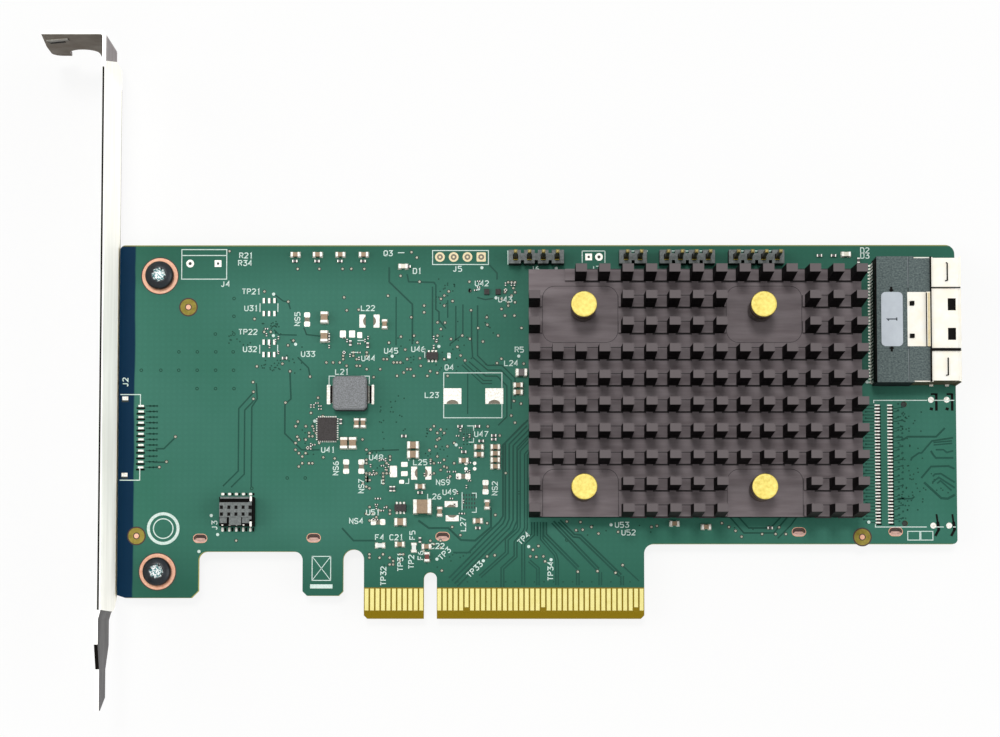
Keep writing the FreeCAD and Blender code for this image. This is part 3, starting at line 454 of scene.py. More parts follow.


# Plain finishes: darker and lighter tone, grain in millimetres, smoothest and roughest, and what differs.
# the tone for upright faces is a darker one painted as shade; "level" is the strength of the mirror reflection.
finishes = {
    # hard black anodising on extruded aluminium: drawn lines along the extrusion, faint brown cast; upright
    # faces and level tops painted darker as shade
    "hardAnodisedAluminium": ("#776D6F", "#908789", 1.6, 0.55, 0.7, {
        "stretch": (0.12, 1, 1), "bump": 0.15, "depth": 0.03, "uprightPaintedShade": "#060405", "crown": "#6C6566",
        "topShadeHeight": 13.0, "level": 0.05}),
    # turned brass, lacquered: bright yellow, fine lathe marks
    "turnedBrass": ("#D8C04C", "#FBE884", 0.6, 0.4, 0.55, {"bump": 0.08, "metallic": 0.2, "uprightPaintedShade": "#6A5614"}),
    # drawn spring wire, oiled: brown, its sides painted darker as shade, leaving a bright line along each turn
    "drawnSpringSteel": ("#3A2A1C", "#7A6244", 0.4, 0.25, 0.4, {"metallic": 0.8, "uprightPaintedShade": "#241408"}),
    # hard gold over nickel on the edge fingers: pale yellow sheen
    "hardGoldPlate": ("#D3C878", "#E2D98E", 1.2, 0.35, 0.5, {"bump": 0.04, "metallic": 0.3}),
    # glass-epoxy package substrate: plain green
    "packageLaminate": ("#2E5B34", "#3A6B3F", 0.8, 0.4, 0.55),
    # nickel-plated copper heat spreader: grey metal sheen
    "nickelPlatedCopper": ("#A9A49C", "#BEB9B0", 1.0, 0.3, 0.45, {"metallic": 0.9}),
    # silicone gap pad: matt grey, slightly grainy
    "siliconeGapPad": ("#8A8C90", "#9FA1A5", 0.3, 0.7, 0.9),
    # glass-filled liquid-crystal polymer, moulded: blue-black with pale fibre flow lines
    "mouldedCrystalPolymer": ("#303C40", "#74827F", 0.28, 0.5, 0.7, {
        "stretch": (0.7, 1, 1), "bump": 0.3, "depth": 0.03, "contrast": 0.22, "uprightPaintedShade": "#0C1016",
        "level": 0.2}),
    # tinned phosphor-bronze cage, stamped: pale cream sheen
    "tinnedBronzeSheet": ("#FFF7E4", "#FFFFF8", 2.5, 0.35, 0.5, {
        "bump": 0.04, "metallic": 0.05, "uprightPaintedShade": "#4A3A22"}),
    # coated polyester label film: pale blue-grey
    "coatedLabelFilm": ("#BCC4CC", "#CAD2D9", 2.0, 0.4, 0.55),
    # moulded black nylon header bodies, greyed by their matt skin
    "mouldedNylon": ("#5F6463", "#8A908E", 0.35, 0.55, 0.75, {
        "bump": 0.3, "contrast": 0.22, "uprightPaintedShade": "#0E0E10", "level": 0.2}),
    # bright tin on leads and end caps: near white, soft sheen; also the painted highlight on the bracket tab's
    # rib
    "brightTin": ("#D6D0C2", "#FFFFFA", 0.4, 0.3, 0.48, {
        "bump": 0.12, "metallic": 0.2, "contrast": 0.12, "uprightPaintedShade": "#5C5850"}),
    # reflowed solder: bright, slightly dimpled
    "reflowedSolder": ("#AEB4A6", "#F2F4E8", 0.35, 0.2, 0.38, {"bump": 0.3, "depth": 0.03, "metallic": 0.35}),
    # pressed iron powder: stone grey, closely speckled
    "pressedIronPowder": ("#67696A", "#94979A", 0.22, 0.6, 0.85, {
        "bump": 0.5, "depth": 0.03, "contrast": 0.14, "uprightPaintedShade": "#26262A"}),
    # epoxy moulding compound: near black with a brown cast
    "epoxyMouldCompound": ("#34312F", "#4E4A4A", 0.3, 0.55, 0.75, {
        "depth": 0.01, "uprightPaintedShade": "#0C0B0C", "level": 0.2}),
    # barium-titanate capacitor body, sintered: tan
    "sinteredTanCeramic": ("#8C7358", "#A98F72", 0.6, 0.4, 0.55),
    # ferrite bead body, sintered: dark grey
    "sinteredGreyFerrite": ("#5E5A5C", "#77726F", 0.5, 0.45, 0.6),
    # alumina fuse body: greenish white
    "whiteAlumina": ("#DCE2DC", "#F2F5F0", 0.5, 0.4, 0.55),
    # glass-sealed diode: rust red, glossy
    "redSealedGlass": ("#5A1E14", "#7E2F20", 0.4, 0.15, 0.3),
    # diffused LED lens resin: cream, glossy
    "diffusedLensResin": ("#D8D2BE", "#EFEAD9", 0.5, 0.25, 0.4),
    # glaze of a thick-film resistor: black, glossy
    "resistorGlaze": ("#1E1B1C", "#332E30", 0.3, 0.25, 0.4),
    # gold flash on header pins: dull yellow tops, sides painted brown as shade
    "goldFlashPin": ("#6A5C24", "#B4A45C", 0.6, 0.3, 0.45, {"metallic": 0.2, "uprightPaintedShade": "#2A1C08"}),
    # epoxy silkscreen ink: off-white, matt, slightly porous over the mask
    "silkscreenInk": ("#C6E4D8", "#F0FAF5", 0.25, 0.6, 0.8, {"bump": 0.1}),
    # mask over a copper track: a shade deeper than the field, with a soft shoulder
    "maskedTrack": ("#164A3C", "#1E5346", 3.0, 0.38, 0.5, {"level": 0.14}),
    # mask sagging into a plugged via: a small deep green spot
    "pluggedVia": ("#164436", "#205040", 0.5, 0.4, 0.55, {"level": 0.14}),
    # open via barrel seen from above: dark green; the same green is painted as shade below the cable header's
    # lands and in the spare port's peg holes
    "viaHoleAndPaintedShade": ("#0E1814", "#22322C", 0.3, 0.5, 0.7),
    # bare copper land, lightly oxidised: salmon
    "oxidisedCopper": ("#E29C78", "#FFCBAC", 0.8, 0.35, 0.55, {
        "bump": 0.08, "metallic": 0.1, "uprightPaintedShade": "#3A140A"}),
    # mask opening round a sighting mark: bare yellow laminate; the same tone is a painted highlight below the
    # header pins
    "bareLaminate": ("#85782A", "#A89848", 0.6, 0.45, 0.65, {"level": 0.15}),
    # black chromated steel screw head: blue-black
    "blackChromatedSteel": ("#04080E", "#101C26", 0.6, 0.25, 0.42, {"metallic": 0.2, "uprightPaintedShade": "#2E1008"}),
    # painted highlight in the driver recess: white and teal flecks
    "recessPaintedHighlight": ("#2F7C80", "#FFFFFF", 0.36, 0.2, 0.35, {"metallic": 0.1, "contrast": 0.05}),
    # painted shade, near black: in recesses and gaps of moulded parts, beside lands and round pins
    "shadedCavity": ("#050505", "#0E0B08", 0.3, 0.6, 0.8, {"level": 0.1}),
    # routed and copper-plated slot wall, painted dark brown as shade; also the dark outlines round copper rings
    # and sighting marks
    "brownPaintedShade": ("#2A1612", "#4C2C26", 0.5, 0.5, 0.7),
    # the same wall where it catches light: pale pink
    "brightBarrel": ("#C29488", "#E2BCB0", 0.5, 0.4, 0.6),
    # weld seam of the moulding: glass fibre at the surface, paler
    "polymerSeam": ("#6E787C", "#8E989A", 0.4, 0.5, 0.7),
    # tan: the four-way header's lands, and the lighter painted shade along the port plate's fold
    "tanLandAndFoldShade": ("#CDBB8E", "#E2D2A8", 0.8, 0.3, 0.45, {"metallic": 0.1}),
    # almost black: cut lines in the anodised aluminium, and a painted shadow at the foot of each ridge
    "scribeLinesAndPaintedShadow": ("#1A1416", "#2A2224", 0.8, 0.5, 0.7),
    # tin of the port's tails, matt from the reflow oven: warm white
    "dulledTin": ("#F2ECDC", "#FFFFFF", 0.5, 0.5, 0.65),
    # tinned terminals folded under an inductor: painted dark brown as shade, since they sit in its shadow
    "paintedShadeTin": ("#17120F", "#54443A", 0.5, 0.4, 0.6, {"contrast": 0.12}),
    # flux left in the hollow of a land: grey-brown
    "fluxResidue": ("#5E5646", "#8C8470", 0.4, 0.4, 0.6),
    # brass in the shade of the pin's own head: dark brown
    "shadedBrass": ("#140A02", "#4E3610", 0.5, 0.25, 0.4, {"metallic": 0.4}),
    # solder in a via, browned with flux: a small tan dot
    "fluxedSolder": ("#9A9A80", "#EAEAD2", 0.8, 0.3, 0.5),
    # ink of a printed numeral: blue-grey
    "printedInk": ("#26303A", "#3A454F", 0.3, 0.5, 0.7),
}
material = {name: grainMaterial(name, *look) for name, look in finishes.items()}
material["epoxySolderMask"] = solderMaskMaterial()
material["nickelPlatedSteel"] = bracketMaterial()

# The first entry that a node's name starts with gives its finish; other nodes and all end caps are tinned
nodeFinish = {
    "circuit_board": "epoxySolderMask", "edge_contacts": "hardGoldPlate",
    "bracket_screws": "blackChromatedSteel", "bracket": "nickelPlatedSteel",
    "heat_sink": "hardAnodisedAluminium", "push_pins": "turnedBrass",
    "push_pin_springs": "drawnSpringSteel", "controller_substrate": "packageLaminate",
    "controller_lid": "nickelPlatedCopper", "thermal_pad": "siliconeGapPad",
    "port_housing": "mouldedCrystalPolymer", "port_leads": "dulledTin", "port_contacts": "hardGoldPlate",
    "port_shell": "tinnedBronzeSheet", "port_top_plate": "tinnedBronzeSheet", "port_label": "coatedLabelFilm",
    "pin_header_pins": "goldFlashPin", "pin_header_body": "mouldedNylon",
    "program_socket_body": "mouldedNylon",
    "inductor_body": "pressedIronPowder", "inductor_terminals": "paintedShadeTin",
    "regulator_chip": "epoxyMouldCompound", "leaded_chips": "epoxyMouldCompound",
    "tiny_chips": "epoxyMouldCompound", "capacitors_0": "sinteredTanCeramic",
    "capacitor_1": "sinteredTanCeramic", "ferrite_bead": "sinteredGreyFerrite",
    "fuses": "whiteAlumina", "diode": "redSealedGlass", "status_leds": "diffusedLensResin",
}
for name, node in nodes.items():
    fits = [finish for start, finish in nodeFinish.items()
            if name.startswith(start) and not name.endswith("_ends")]
    node.data.materials.clear()
    node.data.materials.append(material[(fits + ["brightTin"])[0]])
print("finishes set:", len(material))


# Stroke letters on a 4 by 6 grid, as a plotter draws them: each point is one digit of x, then y
strokes = {
    "0": "01 05 16 36 45 41 30 10 01", "1": "15 26 20/10 30", "2": "05 16 36 45 44 00 40",
    "3": "06 46 23.5 33.5 42.5 41 30 10 01", "4": "30 36 02 42", "5": "46 06 03.5 33.5 42.5 41 30 00",
    "6": "36 15 03 01 10 30 41 42 33 03", "7": "06 46 10",
    "8": "13 04 05 16 36 45 44 33 13 02 01 10 30 41 42 33", "9": "10 31 43 45 36 16 05 04 13 43",
    "C": "45 36 16 05 01 10 30 41", "D": "00 06 36 45 41 30 00", "F": "00 06 46/03 33",
    "J": "01 10 20 31 36", "L": "06 00 40", "N": "00 06 40 46", "P": "00 06 36 45 44 33 03",
    "Q": "01 05 16 36 45 41 30 10 01/22 40", "R": "00 06 36 45 44 33 03/23 40",
    "S": "45 36 16 05 04 13 33 42 41 30 10 01", "T": "06 46/26 20", "U": "06 01 10 30 41 46",
}


def addText(bm, text, x, y, look, angle, foot=0.0):
    # text centred on (x, y), turned by angle degrees
    unit = look["height"] / 6
    start = -(len(text) - 1) * look["pitch"] / 2 - 2 * unit
    c, s = math.cos(math.radians(angle)), math.sin(math.radians(angle))
    for i, letter in enumerate(text):
        for line in strokes[letter].split("/"):
            points = []
            for point in line.split():
                u = start + i * look["pitch"] + int(point[0]) * unit
                v = (float(point[1:]) - 3) * unit
                points.append((x + u * c - v * s, y + u * s + v * c))
            addStrip(bm, points, look["weight"], foot + look["rise"], 0, foot)


# White ink: outlines of parts, first-pin dots and plain numbered marks
inkLook = {"height": 0.93, "pitch": 0.91, "weight": 0.17, "lineWeight": 0.16, "rise": 0.05, "dotRadius": 0.3,
           "ringPlace": (-49.0, 16.5), "rings": ((3.0, 2.45), (1.9, 1.7)), "boxPlace": (-19.95, 9.2),
           "boxSize": (3.4, 4.4), "boxWeight": 0.15, "crossWeight": 0.12, "barDrop": 3.3,
           "barSize": (4.1, 0.75), "cells": ((88.5, 15.2), (90.9, 15.2)), "cellSize": (2.2, 1.6)}

# Text and its place, and the angle where it is turned
boardLabels = [
    ("R21", -34.1, 67), ("R34", -34.3, 65.6), ("J4", -37.9, 61.7), ("TP21", -33.1, 60.3),
    ("U31", -33.1, 57.2), ("TP22", -33.7, 52.8), ("U32", -33.3, 49.6), ("NS5", -24.6, 55.2, 90),
    ("U33", -22.6, 48.7), ("L21", -16.3, 45.4), ("J2", -56.2, 43.5, 90), ("J3", -39.6, 17.1, 90),
    ("U41", -18.8, 31), ("NS6", -17.4, 27.6, 90), ("Q3", -7.9, 67.4), ("D1", -2.5, 64.1),
    ("J5", 4.9, 64.5), ("U42", 9.4, 61.8), ("U43", 13.7, 58.8), ("L22", -11.6, 57.2), ("U44", -11.5, 47.9),
    ("U45", -7.3, 49.3), ("U46", -2.3, 49.6), ("Q4", 3.4, 46.2), ("L23", 0.2, 41.1), ("R5", 16.3, 49.5),
    ("L24", 14.8, 47), ("U47", 9.3, 33.9), ("U48", -10, 29.6), ("L25", -1.9, 28.7),
    ("NS7", -12.7, 24.3, 90), ("NS9", 2.3, 25), ("U49", 3.5, 23.2), ("L26", 0.7, 22.4),
    ("NS2", 11.8, 23.9, 90), ("U51", -10.5, 19.5), ("NS4", -13.6, 17.9), ("L27", 6, 17.3, 90),
    ("F4", -9.3, 14.9), ("C21", -6.2, 14.9), ("F5", -3.3, 15.3, 90), ("F6", -1.8, 11.6, 90),
    ("C22", 1.3, 13.3), ("TP3", 2.6, 11.9, 45), ("TP31", -5.5, 10.4, 90), ("TP2", -3.5, 10.4, 90),
    ("TP32", -8.6, 7.8, 90), ("TP4", 17.1, 14.7, 45), ("TP33", 8.1, 9, 45), ("TP34", 22, 8.7, 90),
    ("D2", 80, 67.9), ("D3", 80, 66.9), ("U52", 36.3, 15.8), ("U53", 35.1, 17.2), ("J6", 19.2, 64.5),
    ("J7", 30.3, 64.5),
]
silkLines = [
    ((-46, 68.1), (-37.7, 68.1), (-37.7, 62.6), (-46, 62.6), (-46, 68.1)), ((-46, 67), (-37.7, 67)),
    ((-57.1, 41.2), (-53.4, 41.2), (-53.4, 38.9)), ((-53.4, 27.6), (-53.4, 25.4), (-57.1, 25.4)),
    ((-17.5, 44.6), (-18.7, 44.6), (-18.7, 42.4)), ((-12.8, 44.6), (-11.3, 44.6), (-11.3, 43.1)),
    ((2.4, 42.4), (2.4, 45.2), (13.1, 45.2), (13.1, 42.4)),
    ((2.4, 39.5), (2.4, 36.9), (13.1, 36.9), (13.1, 39.5)),
    ((0.3, 67.9), (10.6, 67.9), (10.6, 65.3), (0.3, 65.3), (0.3, 67.9)), ((14.2, 67.9), (14.2, 65.3)),
    ((27.9, 67.8), (32.1, 67.8)), ((27.9, 67.8), (27.9, 65.6)), ((32.1, 67.8), (32.1, 65.6)),
    ((81.4, 39.6), (81.4, 40.1), (91.2, 40.1)), ((92.5, 40.1), (96.2, 40.1)),
    ((81.5, 17.3), (81.5, 16.8), (90.9, 16.8)), ((92.5, 16.8), (94, 16.8)), ((95.7, 16.8), (96.2, 16.8)),
    ((-31.5, 58.1), (-31.5, 56.5)), ((-28.2, 58.1), (-28.2, 56.5)), ((-31.5, 50.4), (-31.5, 48.8)),
    ((-28.2, 50.4), (-28.2, 48.8)), ((-1.1, 49.7), (-1.1, 48)), ((6.7, 35.4), (7.9, 35.4), (7.9, 34.5)),
    ((7.9, 33.2), (7.9, 32.4), (7, 32.4)), ((7.6, 23), (8.4, 23), (8.4, 22.1)),
    ((8.4, 20.4), (8.4, 19.5), (7.6, 19.5)), ((5.8, 19.9), (5.8, 23.2)),
    ((-8.4, 24.8), (-9, 24.8), (-9, 25.5)), ((-4.6, 24.8), (-4, 24.8), (-4, 25.7)), ((-9, 29), (-9, 29.5)),
    ((-4, 29), (-4, 29.7)), ((-6.1, 67.5), (-4.9, 67.5)), ((-13.5, 51.2), (-12.1, 51.2)),
    ((-14.7, 49), (-13.2, 49)), ((35.2, 67.8), (40, 67.8)), ((42.8, 67.8), (51.4, 67.8)),
    ((55.3, 67.8), (64.7, 67.8)),
]
dotPlaces = [
    (-29, 59.8), (-29, 52.1), (-24.9, 50.5), (-21.3, 36.3), (-39, 15.4), (-42.4, 12.3), (-40.2, 18.9),
    (9.4, 64.7), (8.8, 60.8), (1.5, 50.1), (3.4, 48.6), (-7.1, 48.3), (16.2, 48.3), (4.7, 31.9),
    (1.2, 10.9), (9.7, 10.6), (18, 13.2), (22.1, 10.8), (33.1, 17.2), (23.1, 64.6), (80.2, 43.5),
    (80.3, 17.7), (12, 59.1),
]


def boardInk():
    bm = bmesh.new()
    rise = inkLook["rise"]
    for text, x, y, *turn in boardLabels:
        addText(bm, text, x, y, inkLook, sum(turn))
    for line in silkLines:
        addStrip(bm, line, inkLook["lineWeight"], rise)
    addDots(bm, dotPlaces, inkLook["dotRadius"], 10, rise)
    # plain double ring in the corner, a plain crossed box over a bar on the hook, two empty cells
    for outer, inner in inkLook["rings"]:
        addRings(bm, [inkLook["ringPlace"]], outer, inner, 40, rise)
    x, y = inkLook["boxPlace"]
    corners = box(x, y, *inkLook["boxSize"])
    for line in (corners[0::2], corners[1::2]):
        addStrip(bm, line, inkLook["crossWeight"], rise)
    addPads(bm, [(x, y - inkLook["barDrop"])], *inkLook["barSize"], rise)
    for loop in [corners] + [box(*place, *inkLook["cellSize"]) for place in inkLook["cells"]]:
        addStrip(bm, loop + loop[:1], inkLook["boxWeight"], rise)
    return finishPiece("boardInk", bm, ["silkscreenInk"])


# Copper tracks under the mask: width and points, then how many run side by side and their pitch if several do
trackLook = {"rise": 0.03, "lift": (0.002, 0.001), "swell": 1.2, "portSwell": 1.4, "portFrom": 84, "dot": 0.2,
             "padTail": 0.18, "fanTail": 0.16, "cableTail": 0.2}
spareRows = [17.6 + k * 0.6 for k in range(37)]
cableRows = [39.1 - k * 1.03 for k in range(12)]

traceRuns = [
    (0.22, ((-32.6, 41.6), (-35.3, 38.6), (-35.3, 27.1), (-38.1, 24.3))),
    (0.22, ((-32.6, 40), (-34.2, 38.3), (-34.2, 26.5), (-36.6, 24.1))),
    (0.22, ((-32.1, 43.3), (-31.9, 40.4), (-32.9, 38.9), (-32.9, 24.2))),
    (0.24, ((-25.9, 45.3), (-25.7, 40.4), (-26.8, 39.4), (-26.8, 34), (-23.7, 31), (-20.4, 31))),
    (0.22, ((-24.5, 48.1), (-22.5, 46.1), (-22.2, 44.5))),
    (0.2, ((-28.9, 53.2), (-28, 52.3), (-24.7, 52.2))), (0.2, ((-23.4, 53.6), (-22.9, 52.3), (-20.3, 52))),
    (0.2, ((-28.9, 59.8), (-27.2, 58.5), (-26.3, 58.4), (-25.9, 57))),
    (0.24, ((-50.5, 31.2), (-49, 31.2), (-47.1, 33.1))), (0.24, ((-50.8, 28.7), (-48.6, 28.7))),
    (0.26, ((-16.2, 16.6), (-14.1, 14.3), (-10, 14.3))),
    (0.22, ((-11.8, 30.1), (-10.9, 30.8), (-5.8, 31))),
    (0.24, ((-7.7, 64.8), (-7.7, 62.1), (-3.4, 57.9), (-3.4, 50.5))), (0.16, ((-6.4, 59.3), (-6.4, 50.3))),
    (0.22, ((-4.4, 63.5), (-4.1, 62.1), (0.5, 62), (0.9, 61.5), (0.9, 57), (1.5, 56.5), (1.5, 55), (2.8, 53.4))),
    (0.22, ((0.3, 61.2), (0.3, 51.7))), (0.18, ((3.1, 58.7), (3.1, 55.4))),
    (0.18, ((4.6, 57.6), (4.6, 51.3))), (0.18, ((5.9, 57.9), (5.9, 52.4))),
    (0.2, ((7.5, 56.5), (7.5, 51.3), (7.7, 48.1), (10.5, 45.7), (12.9, 45.7), (14.8, 43.8), (14.8, 38.5))),
    (0.2, ((8.6, 57.7), (8.6, 48.4), (10.4, 46.6), (13.1, 46.6), (15.5, 44.2), (15.5, 40.7))),
    (0.2, ((7, 47.3), (10.1, 44.6), (12.2, 44.6), (14, 42.8), (14, 37.1), (12.4, 35.5))),
    (0.16, ((5.9, 46.9), (9.6, 43.5), (11.3, 43.5)), 2, 0.55),
    (0.22, ((10.6, 65.4), (12.2, 63.7), (12.2, 62.5))), (0.2, ((3.5, 50.5), (5.6, 52.1))),
    (0.2, ((8.5, 59.2), (10, 58.8), (11.5, 59))), (0.16, ((6.8, 45.1), (6.8, 37.6))),
    (0.3, ((-2.2, 18), (-0.3, 16.6), (3.3, 16.6), (5.6, 14.4), (8.2, 14.3), (11.1, 16.8), (11.1, 20.2))),
    (0.26, ((4.2, 12.1), (7, 12.1), (9.7, 14.9), (12.6, 17.7), (13.3, 18.8), (13.3, 31.9), (17.9, 36.5))),
    (0.24, ((4.2, 6.7), (14.2, 16.8), (14.8, 18.2), (14.8, 31.9), (18, 35.2)), 4, 0.72),
    (0.2, ((9.1, 7.7), (14, 12.1), (14, 14.5), (15.9, 16.2), (16.2, 16.8), (16.2, 30.8), (18.1, 32.9)), 2, 0.5),
    (0.2, ((13.2, 5.7), (13.2, 9.2), (15.6, 11.4), (15.6, 14), (17.2, 15.9), (17.5, 16.6), (17.5, 30.1),
            (18.1, 30.8)), 2, 0.5),
    (0.2, ((17, 6.1), (17, 13.7), (18.8, 15.4), (18.8, 17.7)), 2, 0.5),
    (0.18, ((19.7, 6.1), (19.7, 9.2), (18.1, 10.6)), 2, 0.45), (0.2, ((19.6, 17.7), (19.6, 15.1))),
    (0.18, ((20.4, 17.7), (20.4, 14.6), (22.9, 11.7), (23.2, 10.6), (23.2, 6.1)), 2, 0.45),
    (0.26, ((21, 17.7), (21, 15.4), (27, 9.3)), 2, 0.5), (0.18, ((27, 8.9), (27, 6.1)), 2, 0.45),
    (0.26, ((22.4, 17.7), (30.7, 9)), 2, 0.5), (0.18, ((31.1, 8.5), (31.1, 6.1)), 2, 0.45),
    (0.26, ((23.6, 17.9), (26.3, 15.2), (27.4, 15.1), (34.8, 7.9)), 2, 0.5),
    (0.18, ((35.1, 7.8), (35.1, 6.1)), 2, 0.45), (0.2, ((35.2, 9.7), (38.2, 6.9))),
    (0.24, ((54.9, 18.6), (57.4, 15.7), (62.9, 15.7), (65.4, 18.6))),
    (0.24, ((56.5, 18.6), (58.3, 16.6), (62.3, 16.6), (64.2, 18.6))),
    (0.2, ((67.1, 18.6), (66, 17.1), (63.6, 14.7))),
    (0.24, ((85.5, 33.3), (86.5, 33.3), (86.8, 32.9), (87.6, 33.4), (92.8, 33.4), (94.4, 35))),
    (0.22, ((88.1, 29), (88.3, 29.5), (89.6, 30.4), (90.1, 30.4), (91.4, 31.9), (92, 32.6), (95.9, 33.2))),
    (0.24, ((91.8, 30.8), (92.2, 30.1), (92.7, 29.5), (95.9, 29.5))),
    (0.18, ((92.3, 32.1), (95.7, 32.4)), 2, 0.45),
    (0.2, ((92.7, 31), (94.1, 31), (94.7, 30.5), (95.9, 30.8))),
    (0.24, ((90, 25.8), (91.8, 27.9), (95, 28), (96.1, 27.5))),
    (0.3, ((90.5, 25), (93.6, 22.1), (94.8, 22), (96.1, 22.7))),
    (0.22, ((92.1, 26.1), (92.5, 26.5), (93.6, 26.6), (96.1, 25))),
    (0.22, ((92, 25), (93.2, 25.9), (96.1, 24))), (0.2, ((92.9, 24.8), (93.5, 25.3), (95.5, 23.5))),
    (0.22, ((85.6, 22), (88.3, 22), (88.7, 22.4))),
]


def boardTracks():
    bm = bmesh.new()
    rise = trackLook["rise"]
    for run, (width, points, *several) in enumerate(traceRuns):
        count, pitch = several or (1, 0)
        swell = trackLook["portSwell" if points[0][0] > trackLook["portFrom"] else "swell"]
        for k in range(count):
            aside = (k - (count - 1) / 2) * pitch
            line = [tuple(p) for p in stripSides(points, 2 * aside)[0]] if aside else points
            # a hair's difference in height keeps crossing strips apart
            lift = trackLook["lift"][0] * (k % 4) + trackLook["lift"][1] * (run % 7)
            addStrip(bm, line, width * swell, rise + lift)
    # breakout of the spare port's pads, then of the cable header's
    for k, y in enumerate(spareRows):
        left = 0.5 * (k % 2)
        right = 0.7 * (k % 2)
        addStrip(bm, [(80.0 - left, y), (81.5, y)], trackLook["padTail"], rise)
        addDots(bm, [(79.9 - left, y), (85.9 + right, y + 0.25)], trackLook["dot"], 8, rise)
        if k % 3:
            addStrip(bm, [(84.9, y), (85.5, y), (85.8 + right, y + 0.25)], trackLook["fanTail"], rise)
    for y in cableRows:
        addStrip(bm, [(-52.4, y), (-50.4, y)], trackLook["cableTail"], rise)
        addDots(bm, [(x, y) for x in (-51.6, -50.9, -50.3)], trackLook["dot"], 8, rise)
    return finishPiece("boardTracks", bm, ["maskedTrack"])


# Vias: bright rings with open middles on dark clearings, and dark ones plugged by the mask
viaLook = {"grid": 0.62, "apart": 0.6, "clear": 0.34, "ring": 0.19, "hole": 0.06, "rise": 0.035, "pad": 0.02,
           "sides": 12, "plug": 0.33, "plugHole": 0.17, "speck": 0.16, "plugRise": 0.012}

viaPlaces = [
    (-37.2, 67.8), (-30.7, 60.3), (-26.3, 58.4), (-32.5, 55.2), (-30.7, 52.8), (-29.5, 52.8),
    (-25.3, 51.2), (-26.3, 50.3), (-25.9, 45.5), (-22.2, 44.5), (-32, 46.4), (-27.3, 46.9), (-32.7, 43.5),
    (-32.6, 41.7), (-32.6, 40.4), (-26.7, 39.7), (-24.4, 36.2), (-24.5, 33.4), (-22, 37.8), (-20.7, 40.6),
    (-46.9, 33.4), (-48.5, 28.8), (-49.8, 27.8), (-19.7, 29.6), (-17.6, 29.4), (-16, 59.2), (-15.5, 56.8),
    (-13.3, 56.9), (-24.6, 64.5), (-20.6, 64.5), (-16.3, 64.5), (-35.6, 14.3), (-3.6, 67.6), (-2.6, 66.6),
    (-5.6, 63.2), (-2.1, 62.1), (-7.9, 59.5), (3.3, 60.3), (4, 58.5), (7.1, 62.1), (7.2, 60.4),
    (7.4, 56.8), (10.3, 55.5), (10.4, 54.1), (8.7, 53.5), (2.6, 54.5), (-3.6, 55.5), (-5.5, 51.9),
    (-7.7, 50.8), (5.8, 52.1), (7.2, 51.5), (9.6, 51), (12.4, 52.1), (4.9, 50), (5.5, 48.4), (6.3, 47.5),
    (15.4, 55.8), (16.7, 53.5), (15.2, 60.9), (1, 51), (-2, 47.9), (-4.7, 49.5), (13, 47.8), (12.2, 47),
    (17.1, 46.9), (-0.1, 45.5), (1.2, 45.2), (15.3, 40), (16.6, 39.5), (14.8, 37.3), (15.5, 36),
    (10.5, 35.3), (12.7, 33.6), (1.6, 33.1), (1, 31.6), (-0.2, 30.9), (13.8, 26.7), (3, 27.7), (3.6, 26.1),
    (2.1, 8.8), (11.8, 11.6), (10.4, 11.4), (18.8, 12.6), (19.8, 13.3), (18.3, 11.4), (19.4, 11.3),
    (20.7, 11.4), (21, 10.5), (27, 8.6), (30.6, 8.7), (33.9, 8.4), (35.2, 9.8), (11.9, 19), (10.4, 17.5),
    (5.5, 15.3), (4, 16.8), (25, 17.8), (27.5, 17.7), (26.7, 16.2), (27.9, 16.3), (29.5, 16.8),
    (30.8, 15.6), (34.4, 15.9), (40.5, 16.8), (41.5, 17), (53.4, 17.5), (54.7, 16.8), (55.9, 16.1),
    (57, 15), (-10.5, 44.4), (-12.5, 32.9), (-11.2, 23.9), (-14.7, 64.5), (-12.3, 64.5),
]
tentedPlaces = [
    (-53.3, 45.7), (-49.7, 45.7), (-46.4, 45.7), (-43, 45.7), (-39.6, 45.7), (-36.3, 45.7), (-36.3, 59),
    (-36.3, 55.7), (-39.7, 52.4), (-36.3, 52.4), (-46.4, 49.1), (-43, 49.1), (-39.6, 49.1), (-36.4, 49.1),
    (-43, 42.3), (-39.6, 42.3), (-36.2, 42.3), (-26.3, 25.8), (-23, 25.8), (16.2, 23.1), (25, 14.4),
    (-32.8, 23.9),
]
# Fields of small vias: x from and to, y from and to, how many
viaClusters = [
    (-25, -20, 28, 37, 22), (-12.5, -7.5, 23.5, 31, 26), (-12, -7, 17.5, 20.5, 12),
    (0.2, 4.4, 26.5, 35.5, 18), (-1.5, 3, 10.5, 14.5, 8), (-11.5, -5, 8.5, 12.5, 12),
    (12.5, 16, 56, 62.5, 14), (-4, 4, 44, 60, 20), (-19, -11, 45.5, 49.5, 14), (-10, -4, 44, 48, 10),
    (60, 66.5, 15.4, 17, 6),
]
speckFields = [
    (-12.5, -6.5, 26, 31.5, 26), (-9.5, -4, 32, 41, 20), (1, 12, 45, 56, 30), (-24.5, -19, 30, 36, 18),
    (86, 88, 18, 39, 34), (88.5, 95.5, 20, 27, 14), (-37.5, -33, 50, 53, 16), (-1, 4, 28, 35, 22),
    (-9, 2, 9, 13, 16), (27, 60, 15, 17.5, 16), (3.5, 10, 10.5, 13.5, 10), (-31.2, -27.6, 52, 54.8, 26),
    (-31.2, -27.6, 45.6, 47.6, 20), (-26.5, -23.5, 45, 52, 12), (86.2, 90.5, 19, 38, 30),
    (-8, -3, 47, 52, 16), (0.5, 4.5, 58, 63, 20),
]


